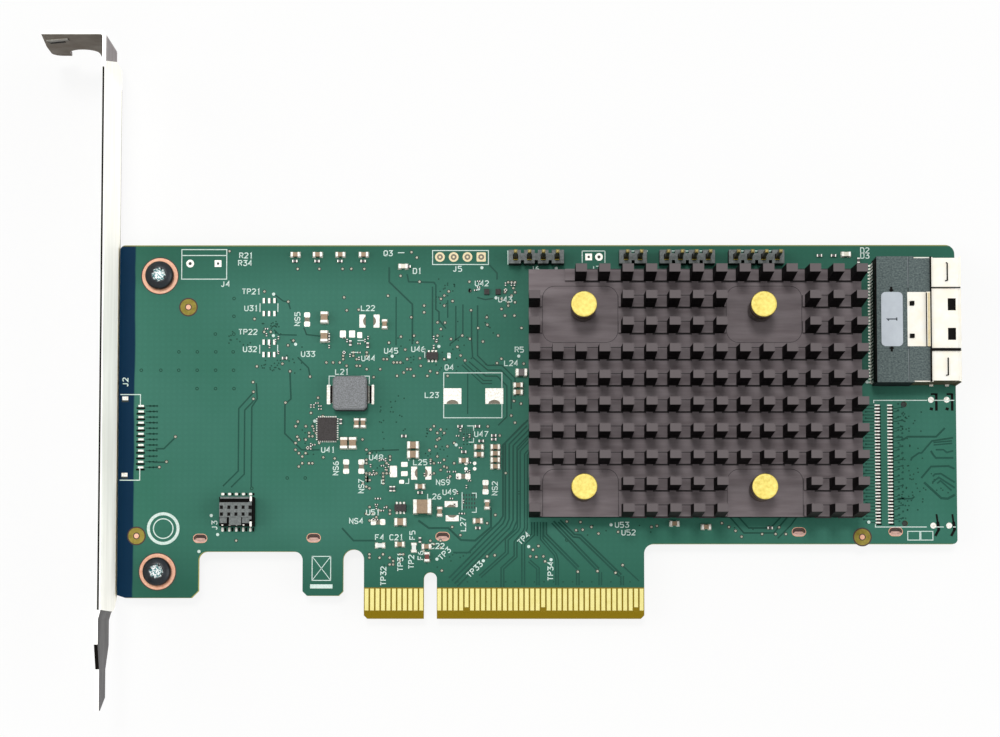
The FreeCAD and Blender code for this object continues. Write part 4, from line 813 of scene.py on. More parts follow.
def boardVias():
    bm = bmesh.new()
    rise = viaLook["rise"]
    grid = viaLook["grid"]
    draw = random.Random(11)
    places = list(viaPlaces)
    for x0, x1, y0, y1, count in viaClusters:
        for _ in range(count):
            x = round(draw.uniform(x0, x1) / grid) * grid
            y = round(draw.uniform(y0, y1) / grid) * grid
            if all(abs(x - u) + abs(y - v) > viaLook["apart"] for u, v in places):
                places.append((x, y))
    addDots(bm, places, viaLook["clear"], viaLook["sides"], rise, 1)
    addRings(bm, places, viaLook["ring"], viaLook["hole"], viaLook["sides"], rise + viaLook["pad"], 0, rise)
    return finishPiece("boardVias", bm, ["fluxedSolder", "viaHoleAndPaintedShade"])


def pluggedVias():
    bm = bmesh.new()
    addRings(bm, tentedPlaces, viaLook["plug"], viaLook["plugHole"], 10, viaLook["plugRise"])
    places = [(3.3 + k * 1.75, 6.75) for k in range(20)]
    places += [(6.1 + i * 0.62, 32.0 + j * 0.62) for i in range(4) for j in range(4)]
    draw = random.Random(7)
    for x0, x1, y0, y1, count in speckFields:
        places += [(draw.uniform(x0, x1), draw.uniform(y0, y1)) for _ in range(count)]
    addDots(bm, places, viaLook["speck"], 6, viaLook["plugRise"])
    return finishPiece("pluggedVias", bm, ["pluggedVia"])


# Lands with no part on them; marks are lines beside a leg land, from, to and width
landLook = {
    "rise": 0.04, "gap": 0.035, "film": 0.015, "step": 0.01, "topY": 66.7,
    "legs": ((91.9, 40.2), (94.8, 40.2), (92.1, 17.05), (95.0, 17.05)),
    "upperMarks": ((0, 1.05, 0.95, 1.05, 0.34), (1.0, 1.2, 1.0, -2.0, 0.46), (-0.2, -1.6, 0.35, -1.75, 0.5)),
    "lowerMarks": ((0.6, 2.1, 0.8, 0.6, 0.34), (0.8, 0.7, 1.0, -0.9, 0.55), (0.95, -0.8, 0.35, -1.9, 0.45)),
}
# Small inductor lands: place, which way they bow, whether they stand upright
bowedLands = ((-12.6, 54.8, 1, True), (-10.0, 54.8, -1, True), (-3.0, 26.7, 1, True), (-0.4, 26.7, -1, True),
              (3.8, 21.0, -1, False), (4.0, 18.4, 1, False))
netTies = ((-22.8, 55.1, True), (-15.5, 27.9, True), (-12.7, 27.9, True), (10.1, 24.1, True),
           (6.0, 26.1, False), (-9.6, 17.7, False))
# Pads beside the fitted inductor and around the small converters: place, length, width
loosePads = ((-18.75, 41.2, 0.7, 3.6), (-10.65, 41.2, 0.5, 3.6), (-6.8, 27.0, 1.3, 2.1),
             (-4.8, 28.3, 1.2, 0.9), (-4.8, 26.6, 1.2, 0.9), (-5.3, 25.1, 0.9, 0.7),
             (-16.2, 52.4, 1.1, 1.3), (-14.5, 52.4, 1.1, 1.3),
             (-13.1, 52.2, 0.9, 1.1), (3.35, 48.4, 0.6, 1.0))
tin, holeAndShade, nearBlack, flux, bronze = range(5)


def bareLands():
    bm = bmesh.new()
    rise, gap, film = landLook["rise"], landLook["gap"], landLook["film"]
    over = rise + landLook["step"]
    top = landLook["topY"]
    # four-way header land along the top edge, its last pad square
    for k in range(4):
        x = 1.65 + 2.54 * k
        hole = circle(x, top, 0.42, 8 if k == 3 else 24)
        outer = box(x, top, 1.7, 1.7, 0.12) if k == 3 else circle(x, top, 0.9, 24)
        addRing(bm, outer, hole[5:] + hole[:5] if k == 3 else hole, boardTop, boardTop + rise, bronze)
        addDots(bm, [(x, top)], 0.55, 20, rise + 0.005, flux)
        addDots(bm, [(x, top)], 0.22, 16, over, bronze)
    # two-pad lands: one square and one round
    for squareX, roundX, y in ((29.1, 31.0, top), (-39.3, -44.45, 65.5)):
        addPads(bm, [(squareX, y)], 1.25, 1.25, rise)
        addDots(bm, [(squareX, y)], 0.25, 8, over, holeAndShade, rise)
        addRings(bm, [(roundX, y)], 0.72, 0.3, 20, rise)
        addDots(bm, [(roundX, y)], 0.3, 20, landLook["step"], holeAndShade)
    # spare port: two columns of fine pads, and four leg lands with dark marks beside them
    for x in (82.0, 84.3):
        addPads(bm, [(x, y) for y in spareRows], 0.95, 0.26, rise, tin, 0.06)
        # a painted shadow beside each pad
        addPads(bm, [(x + 0.2, y - 0.29) for y in spareRows], 0.95, 0.3, gap, nearBlack)
    addDots(bm, landLook["legs"], 0.55, 18, rise)
    for x, y in landLook["legs"]:
        for x0, y0, x1, y1, wide in landLook["upperMarks" if y > 30 else "lowerMarks"]:
            addStrip(bm, [(x + x0, y + y0), (x + x1, y + y1)], wide, gap, nearBlack)
    # cable header land on the bracket edge
    addPads(bm, [(-53.25, y) for y in cableRows], 1.0, 0.36, rise)
    # a painted shadow below each land
    addPads(bm, [(-53.3, y - 0.42) for y in cableRows], 1.6, 0.34, gap, nearBlack)
    addPads(bm, [(-56.2, 40.5), (-56.2, 26.4)], 1.1, 0.7, rise)
    # painted shade below each land
    addPads(bm, [(-56.2, 39.95), (-56.2, 25.85)], 1.2, 0.3, film, holeAndShade)
    # power inductor land: two wide pads, each with a dark bite along its lower edge
    for x in (4.0, 11.7):
        addPads(bm, [(x, 40.9)], 3.3, 2.9, rise)
        bite = [(x + 1.1 * math.cos(math.radians(a)), 39.47 + 0.75 * math.sin(math.radians(a)))
                for a in range(0, 181, 15)]
        addFlat(bm, bite, over, flux, rise)
    for x, y, inner, upright in bowedLands:
        addPads(bm, [(x, y)], *((1.1, 2.4) if upright else (2.4, 1.1)), rise)
        bow = []
        for a in range(-60, 61, 15):
            u = inner * (0.6 - (0.95 * math.cos(math.radians(a)) - 0.45))
            v = math.sin(math.radians(a))
            bow.append((x + u, y + v) if upright else (x + v, y + u))
        addFlat(bm, bow, over, flux, rise)
    # net ties: white ends and a brown middle
    for x, y, upright in netTies:
        for side in (-0.85, 0.85):
            place = (x, y + side) if upright else (x + side, y)
            addPads(bm, [place], *((1.1, 0.95) if upright else (0.95, 1.1)), rise, tin, 0.15)
        addPads(bm, [(x, y)], *((0.9, 0.8) if upright else (0.8, 0.9)), rise - landLook["step"], flux)
    # six-lead lands
    for k in range(3):
        for y in (58.6, 56.2, 50.9, 48.6):
            addPads(bm, [(-30.8 + 0.98 * k, y)], 0.4, 0.95, rise)
            # a painted shadow beside each land
            addPads(bm, [(-30.6 + 0.98 * k, y)], 0.35, 0.9, gap, nearBlack)
    # four-dot land, the thermal grids of two missing chips, dark bars of painted shade beside the fitted
    # inductor
    addDots(bm, [(x, y) for x in (6.5, 8.1) for y in (28.5, 27.5)], 0.33, 12, rise)
    addDots(bm, [(5.2 + i * 0.36, 33.0 + j * 0.36) for i in range(8) for j in range(6)], 0.1, 6, film, holeAndShade)
    addPads(bm, [(6.1 + i * 0.5, 20.4 + j * 0.75) for i in range(5) for j in range(4)], 0.2, 0.45, film,
            holeAndShade)
    addPads(bm, [(-18.25, 41.2), (-11.1, 41.2)], 0.5, 3.2, rise + 0.02, nearBlack)
    # fine leads all round the regulator
    low, high = nodeBox("regulator_chip")
    for k in range(10):
        x = low.x + (high.x - low.x) * (0.05 + k / 10)
        y = low.y + (high.y - low.y) * (0.05 + k / 10)
        addPads(bm, [(low.x - 0.1, y), (high.x + 0.1, y)], 0.4, 0.2, rise)
        addPads(bm, [(x, low.y - 0.1), (x, high.y + 0.1)], 0.2, 0.4, rise)
    for x, y, sizeX, sizeY in loosePads:
        addPads(bm, [(x, y)], sizeX, sizeY, rise, tin, 0.1)
    return finishPiece("bareLands", bm, ["brightTin", "viaHoleAndPaintedShade", "shadedCavity", "fluxResidue",
                                         "tanLandAndFoldShade"])


# Bare copper round the fixing screws and the slots; the openings hold dark plugs of painted shade standing for
# their plated walls, with a painted highlight on the lower side
ringLook = {"outer": 3.3, "inner": 1.75, "outline": 0.16, "rise": 0.035, "step": 0.01,
            "slotLength": 2.62, "slotWidth": 1.68, "slotLine": 0.2, "openLength": 1.78, "openWidth": 0.84,
            "sunk": 0.25, "screws": ((-50.0, 8.6), (-50.0, 63.2)), "pegs": ((87.1, 39.35), (87.1, 17.45)),
            "slots": ((-42.2, 14.7), (-21.4, 14.8), (2.25, 15.05), (67.5, 15.9), (85.2, 15.95))}


def slotLoop(x, y, length, width):
    half = (length - width) / 2
    points = []
    for side, first in ((1, -90), (-1, 90)):
        for step in range(9):
            turn = math.radians(first + step * 22.5)
            points.append((x + side * half + width / 2 * math.cos(turn), y + width / 2 * math.sin(turn)))
    return points


def copperRings():
    bm = bmesh.new()
    look = ringLook
    rise = look["rise"]
    lower = rise - look["step"]
    addRings(bm, look["screws"], look["outer"], look["inner"], 64, rise)
    # a thin outline of painted shade round each screw ring
    addRings(bm, look["screws"], look["outer"] + look["outline"], look["outer"], 64, lower, 1)
    length, width, line = look["slotLength"], look["slotWidth"], look["slotLine"]
    floor = boardTop - look["sunk"]
    for x, y in look["slots"]:
        within = slotLoop(x, y, length - line, width - line)
        opening = slotLoop(x, y, look["openLength"], look["openWidth"])
        addRing(bm, slotLoop(x, y, length, width), within, boardTop, boardTop + rise)
        before = len(bm.faces)
        addRing(bm, within, opening, boardTop, boardTop + lower, 1)
        # the lower side of each slot catches the light
        bm.faces.ensure_lookup_table()
        for face in bm.faces[before:]:
            if face.calc_center_median().y < y - 0.15:
                face.material_index = 2
        # a dark plug fills each opening as painted shade; the pale glint on its floor is a painted highlight
        addBlock(bm, opening, boardBack + 0.1, floor, 1)
        glint = slotLoop(x, y - 0.17, look["openLength"] - 0.1, look["openWidth"] - 0.38)
        addBlock(bm, glint, floor, floor + 0.05, 2)
    # dark plugs in the spare port's peg holes: painted shade
    for x, y in look["pegs"]:
        addBlock(bm, circle(x, y, 0.65, 20), boardBack + 0.1, boardTop - 0.35, 3)
    return finishPiece("copperRings", bm, ["oxidisedCopper", "brownPaintedShade", "brightBarrel", "viaHoleAndPaintedShade"])


# Sighting marks: a clear ring in the mask, painted dark at both its edges as shade, round a small bright copper
# dot
markLook = {"places": ((-44.7, 57.4), (-53.9, 15.15), (79.1, 14.95)), "dot": 0.45, "dotRise": 0.045,
            "rings": ((1.72, 1.5, 0.035, 1), (1.5, 0.62, 0.03, 0), (0.62, 0.45, 0.035, 1))}


def sightingMarks():
    bm = bmesh.new()
    for outer, inner, rise, index in markLook["rings"]:
        addRings(bm, markLook["places"], outer, inner, 32, rise, index)
    addDots(bm, markLook["places"], markLook["dot"], 24, markLook["dotRise"], 2)
    return finishPiece("sightingMarks", bm, ["bareLaminate", "brownPaintedShade", "oxidisedCopper"])


# A skirt of solder round every terminal that stands on the board: spread and rise
skirtLook = {"ends": (0.2, 0.5), "chip_leads": (0.1, 0.12), "port_leads": (0.16, 0.25),
             "inductor_terminals": (0.15, 0.3), "tail": 0.15}


def solderJoints():
    bm = bmesh.new()
    spread, share = skirtLook["ends"]
    for name in nodes:
        if name.endswith("_ends"):
            for low, high, _ in solidBoxes(name):
                addSkirt(bm, low, high, spread, (high.z - low.z) * share)
    for name in ("chip_leads", "port_leads", "inductor_terminals"):
        for low, high, _ in solidBoxes(name):
            if name == "port_leads":
                high = Vector((low.x + skirtLook["tail"], high.y, high.z))
            addSkirt(bm, low, high, *skirtLook[name])
    return finishPiece("solderJoints", bm, ["reflowedSolder"])


# Smallest fitted parts: length, width, height and cap; place and turn, or fields x, x, y, y and how many
chipLook = {"size": (1.0, 0.5, 0.4, 0.25), "tinySize": (0.6, 0.3, 0.3, 0.17), "lip": 0.02, "bevel": 0.05,
            "tinyGrid": 0.55}
smallParts = [
    (-16.5, 36.2, 90), (-14.8, 50.7, 90), (-11.6, 50.3, 90), (-7.3, 23.8, 90), (-6.7, 23.8, 90),
    (-4.9, 33.5, 0), (-1.9, 14.4, 90), (8.7, 16.6, 0), (-25.1, 65.9, 0), (-21, 65.9, 0), (-16.8, 65.9, 0),
    (-12.5, 65.9, 0), (-1.9, 23.1, 0), (5.4, 35.3, 0), (8.6, 35.3, 0), (6.1, 30.6, 0), (11.6, 33.6, 0),
    (11.6, 32.9, 0), (9.3, 32.6, 0), (-4.2, 64.9, 0), (71.6, 66.9, 0), (74.2, 66.9, 0), (78.8, 66, 90),
    (62.2, 16.6, 0), (-26.9, 47.9, 0),
]
tinyFields = [
    (-20, -11.5, 48, 52.8, 16), (-22.5, -19, 30.5, 39.5, 16), (-11.5, -7.5, 24.5, 29.5, 14),
    (-10.5, -7.5, 17.5, 22.5, 8), (-5.5, -2, 36, 40, 0), (4.5, 7.5, 24, 36, 10), (-0.5, 2, 48, 52, 6),
    (7, 9.5, 60, 62, 5), (13, 16, 60, 62, 5), (-1.5, 5, 25.5, 28.5, 8), (-30.5, -26.5, 47.5, 53.5, 6),
    (4, 9.5, 19, 24.5, 6),
]


def addChipPart(bm, x, y, upright, size):
    # rounded two-ended part: body a little inside its wrapped metal ends
    length, width, height, cap = size
    bevel = chipLook["bevel"]
    for start, end, index, lip in ((-length / 2, -length / 2 + cap, 1, 0.0),
                                   (-length / 2 + cap, length / 2 - cap, 0, chipLook["lip"]),
                                   (length / 2 - cap, length / 2, 1, 0.0)):
        along = (start + end) / 2
        place = (x, y + along) if upright else (x + along, y)
        sizes = (end - start, width - 2 * lip)
        sizeX, sizeY = sizes[::-1] if upright else sizes
        top = boardTop + height - lip
        loops = [addLoop(bm, box(*place, sizeX - cut, sizeY - cut), z)
                 for cut, z in ((0, boardTop), (0, top - bevel), (bevel, top))]
        addSkin(bm, loops, index)
        addFace(bm, loops[2], index)
        addFace(bm, loops[0][::-1], index)


def smallResistors():
    bm = bmesh.new()
    for x, y, turn in smallParts:
        addChipPart(bm, x, y, turn, chipLook["size"])
    return finishPiece("smallResistors", bm, ["resistorGlaze", "brightTin"])


def tinyCapacitors():
    bm = bmesh.new()
    grid = chipLook["tinyGrid"]
    draw = random.Random(21)
    for x0, x1, y0, y1, count in tinyFields:
        for _ in range(count):
            x = round(draw.uniform(x0, x1) / grid) * grid
            y = round(draw.uniform(y0, y1) / grid) * grid
            addChipPart(bm, x, y, draw.choice((0, 90)), chipLook["tinySize"])
    return finishPiece("tinyCapacitors", bm, ["resistorGlaze", "brightTin"])


# Pan-head screws with a cross recess; the profile's radii are shares of the head's
screwLook = {"radius": 2.62, "height": 1.88, "recess": 1.62, "wing": 0.85, "depth": 0.5, "turn": 20,
             "crown": ((0.95, 0.55), (0.8, 0.25), (0.55, 0.07), (0.3004, 0.01))}


def screwHeads():
    bm = bmesh.new()
    cutters = bmesh.new()
    r = screwLook["radius"]
    reach, wing = screwLook["recess"], screwLook["wing"]
    top = boardTop + screwLook["height"]
    for low, high, centre in solidBoxes("bracket_screws"):
        profile = [(0, low.z), (1.2, low.z), (1.48, low.z + 0.3), (1.48, boardTop),
                   (r - 0.12, boardTop + 0.02), (r, boardTop + 0.2), (r, top - 1.0)]
        profile += [(r * share, top - drop) for share, drop in screwLook["crown"]] + [(0, top)]
        addLathe(bm, centre.x, centre.y, profile, 48)
        for turn in (screwLook["turn"], screwLook["turn"] + 90):
            c, s = math.cos(math.radians(turn)), math.sin(math.radians(turn))
            levels = []
            for z, u, v in ((top + 0.5, reach * 1.05, wing),
                            (top - screwLook["depth"], reach * 0.45, wing * 0.6)):
                corners = [(a * u, b * v) for a, b in ((-1, -1), (1, -1), (1, 1), (-1, 1))]
                levels.append(addLoop(cutters, [(centre.x + p * c - q * s, centre.y + p * s + q * c)
                                                for p, q in corners], z))
            addSkin(cutters, levels, 1)
            addFace(cutters, levels[0][::-1], 1)
            addFace(cutters, levels[1], 1)
    # the recess walls carry a painted highlight
    finishNames = ["blackChromatedSteel", "recessPaintedHighlight"]
    piece = finishPiece("screwHeads", bm, finishNames)
    cutter = meshObject("recessCutter", cutters, finishNames)
    carve = piece.modifiers.new("recess", "BOOLEAN")
    carve.object = cutter
    carve.operation = "DIFFERENCE"
    carve.solver = "EXACT"
    carve.use_self = True
    carved = bpy.data.meshes.new_from_object(piece.evaluated_get(bpy.context.evaluated_depsgraph_get()))
    whole = piece.data
    piece.modifiers.clear()
    piece.data = carved
    bpy.data.meshes.remove(whole)
    bpy.data.objects.remove(cutter)
    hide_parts("bracket_screws")
    return piece


# Brass push pins: turned head with a rolled edge, shank, barb below the board
pinLook = {"skirt": 7.2, "roll": 0.22, "dish": 0.04, "shank": 1.25, "barb": 1.85, "head": 2.0}


def pushPins():
    bm = bmesh.new()
    roll, shank, barb = pinLook["roll"], pinLook["shank"], pinLook["barb"]
    for low, high, centre in solidBoxes("push_pins"):
        x, y = centre.x, centre.y
        r = (high.x - low.x) / 2 - 0.01
        top = high.z - 0.01
        dish = top - pinLook["dish"]
        under = top - pinLook["head"]
        profile = [(0, low.z), (0.75, low.z), (1.3, low.z + 1.1), (barb, boardBack - 0.35),
                   (barb, boardBack - 0.1), (shank, boardBack), (shank, under), (r - 0.15, under),
                   (r, top - 1.85), (r, top - roll),
                   (r - roll * 0.3, top - roll * 0.3), (r - roll, top), (r - roll - 0.25, dish), (0.5, dish),
                   (0, dish)]
        addLathe(bm, x, y, profile, 48)
        # the head's side is painted dark brown as shade
        addRing(bm, circle(x, y, r + 0.005, 48), circle(x, y, r - 0.02, 48), top - 1.8, top - roll, 1)
        # a skirt under the head, painted dark brown as shade
        skirt = top - pinLook["skirt"]
        barrelWall = [(1.3, skirt), (r - 0.1, skirt), (r - 0.1, top - 0.9), (r - 0.3, top - 0.9)]
        addLathe(bm, x, y, barrelWall, 48, 1)
    piece = finishPiece("pushPins", bm, ["turnedBrass", "shadedBrass"])
    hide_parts("push_pins")
    return piece


# Springs of round wire with closed ends
springLook = {"wire": 0.2, "turns": 5, "radius": 1.75, "steps": 16}


def pinSprings():
    wire, turns, radius = springLook["wire"], springLook["turns"], springLook["radius"]
    curve = bpy.data.curves.new("pinSprings", "CURVE")
    curve.dimensions = "3D"
    curve.bevel_depth = wire * mm
    curve.bevel_resolution = 2
    curve.use_fill_caps = True
    steps = turns * springLook["steps"]
    for low, high, centre in solidBoxes("push_pin_springs"):
        bottom = low.z + wire
        spline = curve.splines.new("POLY")
        spline.points.add(steps)
        for i in range(steps + 1):
            rise = min(1, max(0, (i / steps - 0.1) / 0.8))
            turn = 2 * math.pi * turns * i / steps
            x = centre.x + radius * math.cos(turn)
            y = centre.y + radius * math.sin(turn)
            z = bottom + rise * (high.z - wire - bottom)
            spline.points[i].co = (x * mm, y * mm, z * mm, 1)
    piece = bpy.data.objects.new("pinSprings", curve)
    curve.materials.append(material["drawnSpringSteel"])
    bpy.context.scene.collection.objects.link(piece)
    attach(piece, "root")
    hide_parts("push_pin_springs")
    return piece


# Port: openings and folds of the cage, marks on the label and the housing, and painted shade in its gaps,
# openings, folds and over the leads
portLook = {
    "skirt": 2.6, "toe": 0.45, "seam": 86.85, "foldDark": 90.12, "foldLight": 90.53, "front": 90.92,
    "slotX": 93.95, "slotWidth": 0.2, "foldSpan": 9.8, "windows": (57.05, 51.12), "ink": 0.01, "mark": 0.015,
    "numeral": {"height": 1.7, "pitch": 1.6, "weight": 0.22, "rise": 0.01},
    "slots": (((-0.42, 61.15), (0, 61.25), (0, 64.4), (-0.25, 64.52)),
              ((-0.42, 43.9), (0, 44.0), (0, 47.15))),
}
ink, paintedShade, seam, lighterFoldShade, solder = range(5)


def portDetails():
    bm = bmesh.new()
    look = portLook
    mark = look["mark"]
    labelLow, labelHigh = nodeBox("port_label")
    housingLow, housingHigh = nodeBox("port_housing")
    shellLow, shellHigh = nodeBox("port_shell")
    plateLow, plateHigh = nodeBox("port_top_plate")
    skin, plateTop, shellTop = housingHigh.z - boardTop, plateHigh.z - boardTop, shellHigh.z - boardTop
    x = (labelLow.x + labelHigh.x) / 2
    addText(bm, "1", x, (labelLow.y + labelHigh.y) / 2, look["numeral"], 90, labelHigh.z - boardTop)
    for edge, side in ((labelHigh.y, 1), (labelLow.y, -1)):
        addPads(bm, [(x - 0.1, edge + side * 0.5)], 0.42, 0.95, skin + 0.02, paintedShade, 0.0, skin)
        addPads(bm, [(x - 0.1, edge + side * 0.35)], 0.85, 0.3, skin + mark, paintedShade, 0.1, skin)
    # weld seam of the moulding, and a dark line of painted shade where the cage starts
    for y0, y1 in ((housingLow.y, plateLow.y), (plateHigh.y, housingHigh.y)):
        addStrip(bm, [(look["seam"], y0 + 0.1), (look["seam"], y1 - 0.1)], 0.12, skin + mark, seam, skin)
    front = box(look["front"], (shellLow.y + shellHigh.y) / 2, 0.26, shellHigh.y - shellLow.y - 0.3)
    addBlock(bm, front, housingHigh.z - 0.2, plateHigh.z + 0.012, paintedShade)
    # folded lip of the spring plate: painted shade along the fold, a dark crease line and a lighter tan roll
    # line
    middle = (plateHigh.y + plateLow.y) / 2 - 0.25
    for place, wide, index in ((look["foldDark"], 0.2, paintedShade), (look["foldLight"], 0.42, lighterFoldShade)):
        addPads(bm, [(place, middle)], wide, look["foldSpan"], plateTop + 0.012, index, 0.0, plateTop)
    # gaps each side of the plate, and the dark inside of the cage under its windows, all painted shade
    reach = shellHigh.x - look["front"] - 0.1
    for gap, wide in ((plateHigh.y + 0.1, 0.22), (plateLow.y - 0.24, 0.52)):
        addPads(bm, [(look["front"] + reach / 2, gap)], reach, wide, shellTop + mark, paintedShade, 0.0, shellTop)
    inside = box(94.65, middle, 1.9, look["foldSpan"] - 1.5)
    addBlock(bm, inside, plateLow.z - 0.12, plateLow.z - 0.02, paintedShade)
    for y in look["windows"]:
        addBlock(bm, box(87.5, y, 0.8, 0.8), plateLow.z, plateHigh.z - 0.15, paintedShade)
    for slot in look["slots"]:
        line = [(look["slotX"] + u, y) for u, y in slot]
        addStrip(bm, line, look["slotWidth"], shellTop + mark, paintedShade, shellTop)
    # solder toes at the leads, and painted shade in the gaps between them where they leave the housing
    leads = sorted(centre.y for _, _, centre in solidBoxes("port_leads"))
    low, high = nodeBox("port_leads")
    for y in leads:
        addBlock(bm, box(low.x - look["toe"] / 2, y, look["toe"], 0.3), boardTop, boardTop + 0.08, solder)
    for first, second in zip(leads, leads[1:]):
        gap = box(low.x + 0.13, (first + second) / 2, 0.24, (second - first) * 0.5)
        addBlock(bm, gap, boardTop, high.z + 0.1, paintedShade)
    # a dark sheet over the leads' outer faces: painted shade
    shade = box(low.x + 0.08, (low.y + high.y) / 2, 0.26, high.y - low.y + 0.3)
    addBlock(bm, shade, high.z - look["skirt"], high.z + 0.15, paintedShade)
    return finishPiece("portDetails", bm, ["printedInk", "shadedCavity", "polymerSeam", "tanLandAndFoldShade",
                                           "reflowedSolder"])


# Heat sink: scribed lines where the cutters stopped, round the pin pockets and along each ridge, and a painted
# shadow along each ridge's foot
sinkLook = {"columns": 15, "rows": 10, "finLength": 2.0, "finRoot": 2.2, "floor": 2.3, "ridge": 0.7,
            "rise": 0.015, "line": 0.15, "shade": 0.24, "corner": 2.2, "pocketGap": 0.4, "rowGap": 0.8,
            "pocketRows": (1, 2, 8, 9), "pocketColumns": (0, 1, 2, 3, 8, 9, 10, 11)}


def roundedLoop(x0, x1, y0, y1, radius):
    points = []
    for cx, cy, first in ((x1 - radius, y0 + radius, -90), (x1 - radius, y1 - radius, 0),
                          (x0 + radius, y1 - radius, 90), (x0 + radius, y0 + radius, 180)):
        for step in range(7):
            turn = math.radians(first + 15 * step)
            points.append((cx + radius * math.cos(turn), cy + radius * math.sin(turn)))
    return points


def sinkLines():
    bm = bmesh.new()
    look = sinkLook
    half = look["finLength"] / 2
    root = look["finRoot"] / 2
    columnPitch = (sinkHigh.x - sinkLow.x - 2 * half) / (look["columns"] - 1)
    rowPitch = (sinkHigh.y - sinkLow.y - 2 * root) / (look["rows"] - 1)
    columns = [sinkLow.x + half + i * columnPitch for i in range(look["columns"])]
    rows = [sinkHigh.y - root - j * rowPitch for j in range(look["rows"])]
    floor = sinkLow.z + look["floor"] - boardTop
    ridge = floor + look["ridge"]
    for j, y in enumerate(rows):
        for i in range(look["columns"] - 1):
            inPocket = j in look["pocketRows"] and i in look["pocketColumns"]
            if inPocket or (j == 0 and i < 2):
                continue
            edge = y + root - look["line"] / 2 - 0.02
            foot = y - root - look["shade"] / 2
            # the wider line on the floor is a painted shadow at the ridge's foot
            for past, level, wide, at in ((0, edge, look["line"], ridge), (0.4, foot, look["shade"], floor)):
                ends = [(columns[i] + half - past, level), (columns[i + 1] - half + past, level)]
                addStrip(bm, ends, wide, at + look["rise"], 0, at)
    gap = half + look["pocketGap"] + 0.1
    rowGap = root + look["rowGap"] + 0.1
    fine = look["line"] * 0.6
    for first, last in ((0, 4), (8, 12)):
        x0, x1 = columns[first] + gap, columns[last] - gap
        loop = roundedLoop(x0, x1, rows[3] + rowGap, rows[0] - rowGap, look["corner"])
        addStrip(bm, loop + loop[:1], fine, floor + look["rise"], 0, floor)
        loop = roundedLoop(x0, x1, sinkLow.y - 3 * look["corner"], rows[7] - rowGap, look["corner"])
        line = [(x1, sinkLow.y + 0.1)] + loop[7:21] + [(x0, sinkLow.y + 0.1)]
        addStrip(bm, line, fine, floor + look["rise"], 0, floor)
    return finishPiece("sinkLines", bm, ["scribeLinesAndPaintedShadow"])


# Headers: a dark patch of painted shade round the foot of every pin, with a paler painted highlight along its
# lower edge
headerLook = {"well": (0.95, 1.3), "wellDrop": 0.1, "corner": 0.15, "edge": (0.8, 0.2), "edgeDrop": 0.55,
              "wellRise": 0.012, "edgeRise": 0.02}


def headerPinShading():
    bm = bmesh.new()
    top = nodeBox("pin_header_body_a")[1].z - boardTop
    for _, _, centre in solidBoxes("pin_header_pins"):
        for part, index, cut in (("well", 0, headerLook["corner"]), ("edge", 1, 0.0)):
            place = (centre.x, centre.y - headerLook[part + "Drop"])
            addPads(bm, [place], *headerLook[part], top + headerLook[part + "Rise"], index, cut, top)
    return finishPiece("headerPinShading", bm, ["shadedCavity", "bareLaminate"])


# Programming socket: speckled top with two rows of square wells painted dark, and a near-black body below the
# top blocks, all painted shade; blocks are place, size and drop from the top
socketLook = {"wellX": (-37.95, -36.6, -35.3, -34.0, -32.75), "wellY": (20.2, 18.95), "well": 0.55,
              "deck": 0.75, "tipX": (-37.8, -36.45, -35.2, -33.95),
              "footX": (-38.1, -36.85, -35.6, -34.3, -33.0),
              "blocks": ((-35.55, 19.75, 5.6, 2.7, 0.0), (-37.65, 17.85, 1.3, 1.05, 0.2),
                         (-35.45, 17.7, 2.2, 1.5, 0.0), (-33.55, 17.85, 1.3, 1.05, 0.2),
                         (-35.6, 21.95, 5.2, 0.35, 0.1), (-32.75, 19.6, 0.55, 3.2, 0.1))}


def programSocket():
    bm = bmesh.new()
    look = socketLook
    low, high = nodeBox("program_socket_body")
    top = high.z - 0.02
    deck = top - look["deck"]
    middle = (low + high) / 2
    # the body under the top blocks is painted near black as shade
    addBlock(bm, box(middle.x, middle.y, high.x - low.x - 0.02, high.y - low.y - 0.02), low.z + 0.01, deck, 1)
    for x, y, sizeX, sizeY, drop in look["blocks"]:
        addBlock(bm, box(x, y, sizeX, sizeY), deck, top - drop)
    rise = top - boardTop
    wells = [(x, y) for y in look["wellY"] for x in look["wellX"]]
    addPads(bm, wells, look["well"], look["well"] * 1.15, rise + 0.012, 1, 0.0, rise)
    for x in look["tipX"]:
        addBlock(bm, box(x, 16.98, 0.3, 0.2), top - 1.0, top - 0.35, 2)
    for y in (21.75, 17.15):
        addBlock(bm, box(-32.62, y, 0.4, 0.95, 0.08), top - 0.9, top + 0.005, 2)
    piece = finishPiece("programSocket", bm, ["mouldedNylon", "shadedCavity", "brightTin"])
    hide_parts("program_socket_body")
    return piece


def programSocketFeet():
    bm = bmesh.new()
    low, high = nodeBox("program_socket_leads")
    for x in socketLook["footX"]:
        for y0, y1, wide in ((22.6, high.y - 0.2, 0.55), (low.y + 0.2, 16.7, 0.42)):
            addBlock(bm, box(x, (y0 + y1) / 2, wide, y1 - y0, 0.08), low.z, high.z)
            # a painted shadow beside each foot
            addPads(bm, [(x + 0.55, (y0 + y1) / 2)], 0.3, y1 - y0, 0.03, 1)
    piece = finishPiece("programSocketFeet", bm, ["brightTin", "shadedCavity"])
    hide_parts("program_socket_leads")
    return piece


# Bracket tab: a rib pressed into its inner face, with a painted highlight along its crest and painted shade
# beneath; points are x and z
ribLook = {"crest": ((-69.0, 12.25), (-67.6, 12.75), (-66.2, 13.2), (-65.1, 13.35)), "aside": (0.1, -1.3),
           "crestSize": (1.2, 0.16), "shadeSize": (1.1, 0.1), "root": 0.05, "tabFrom": -60}


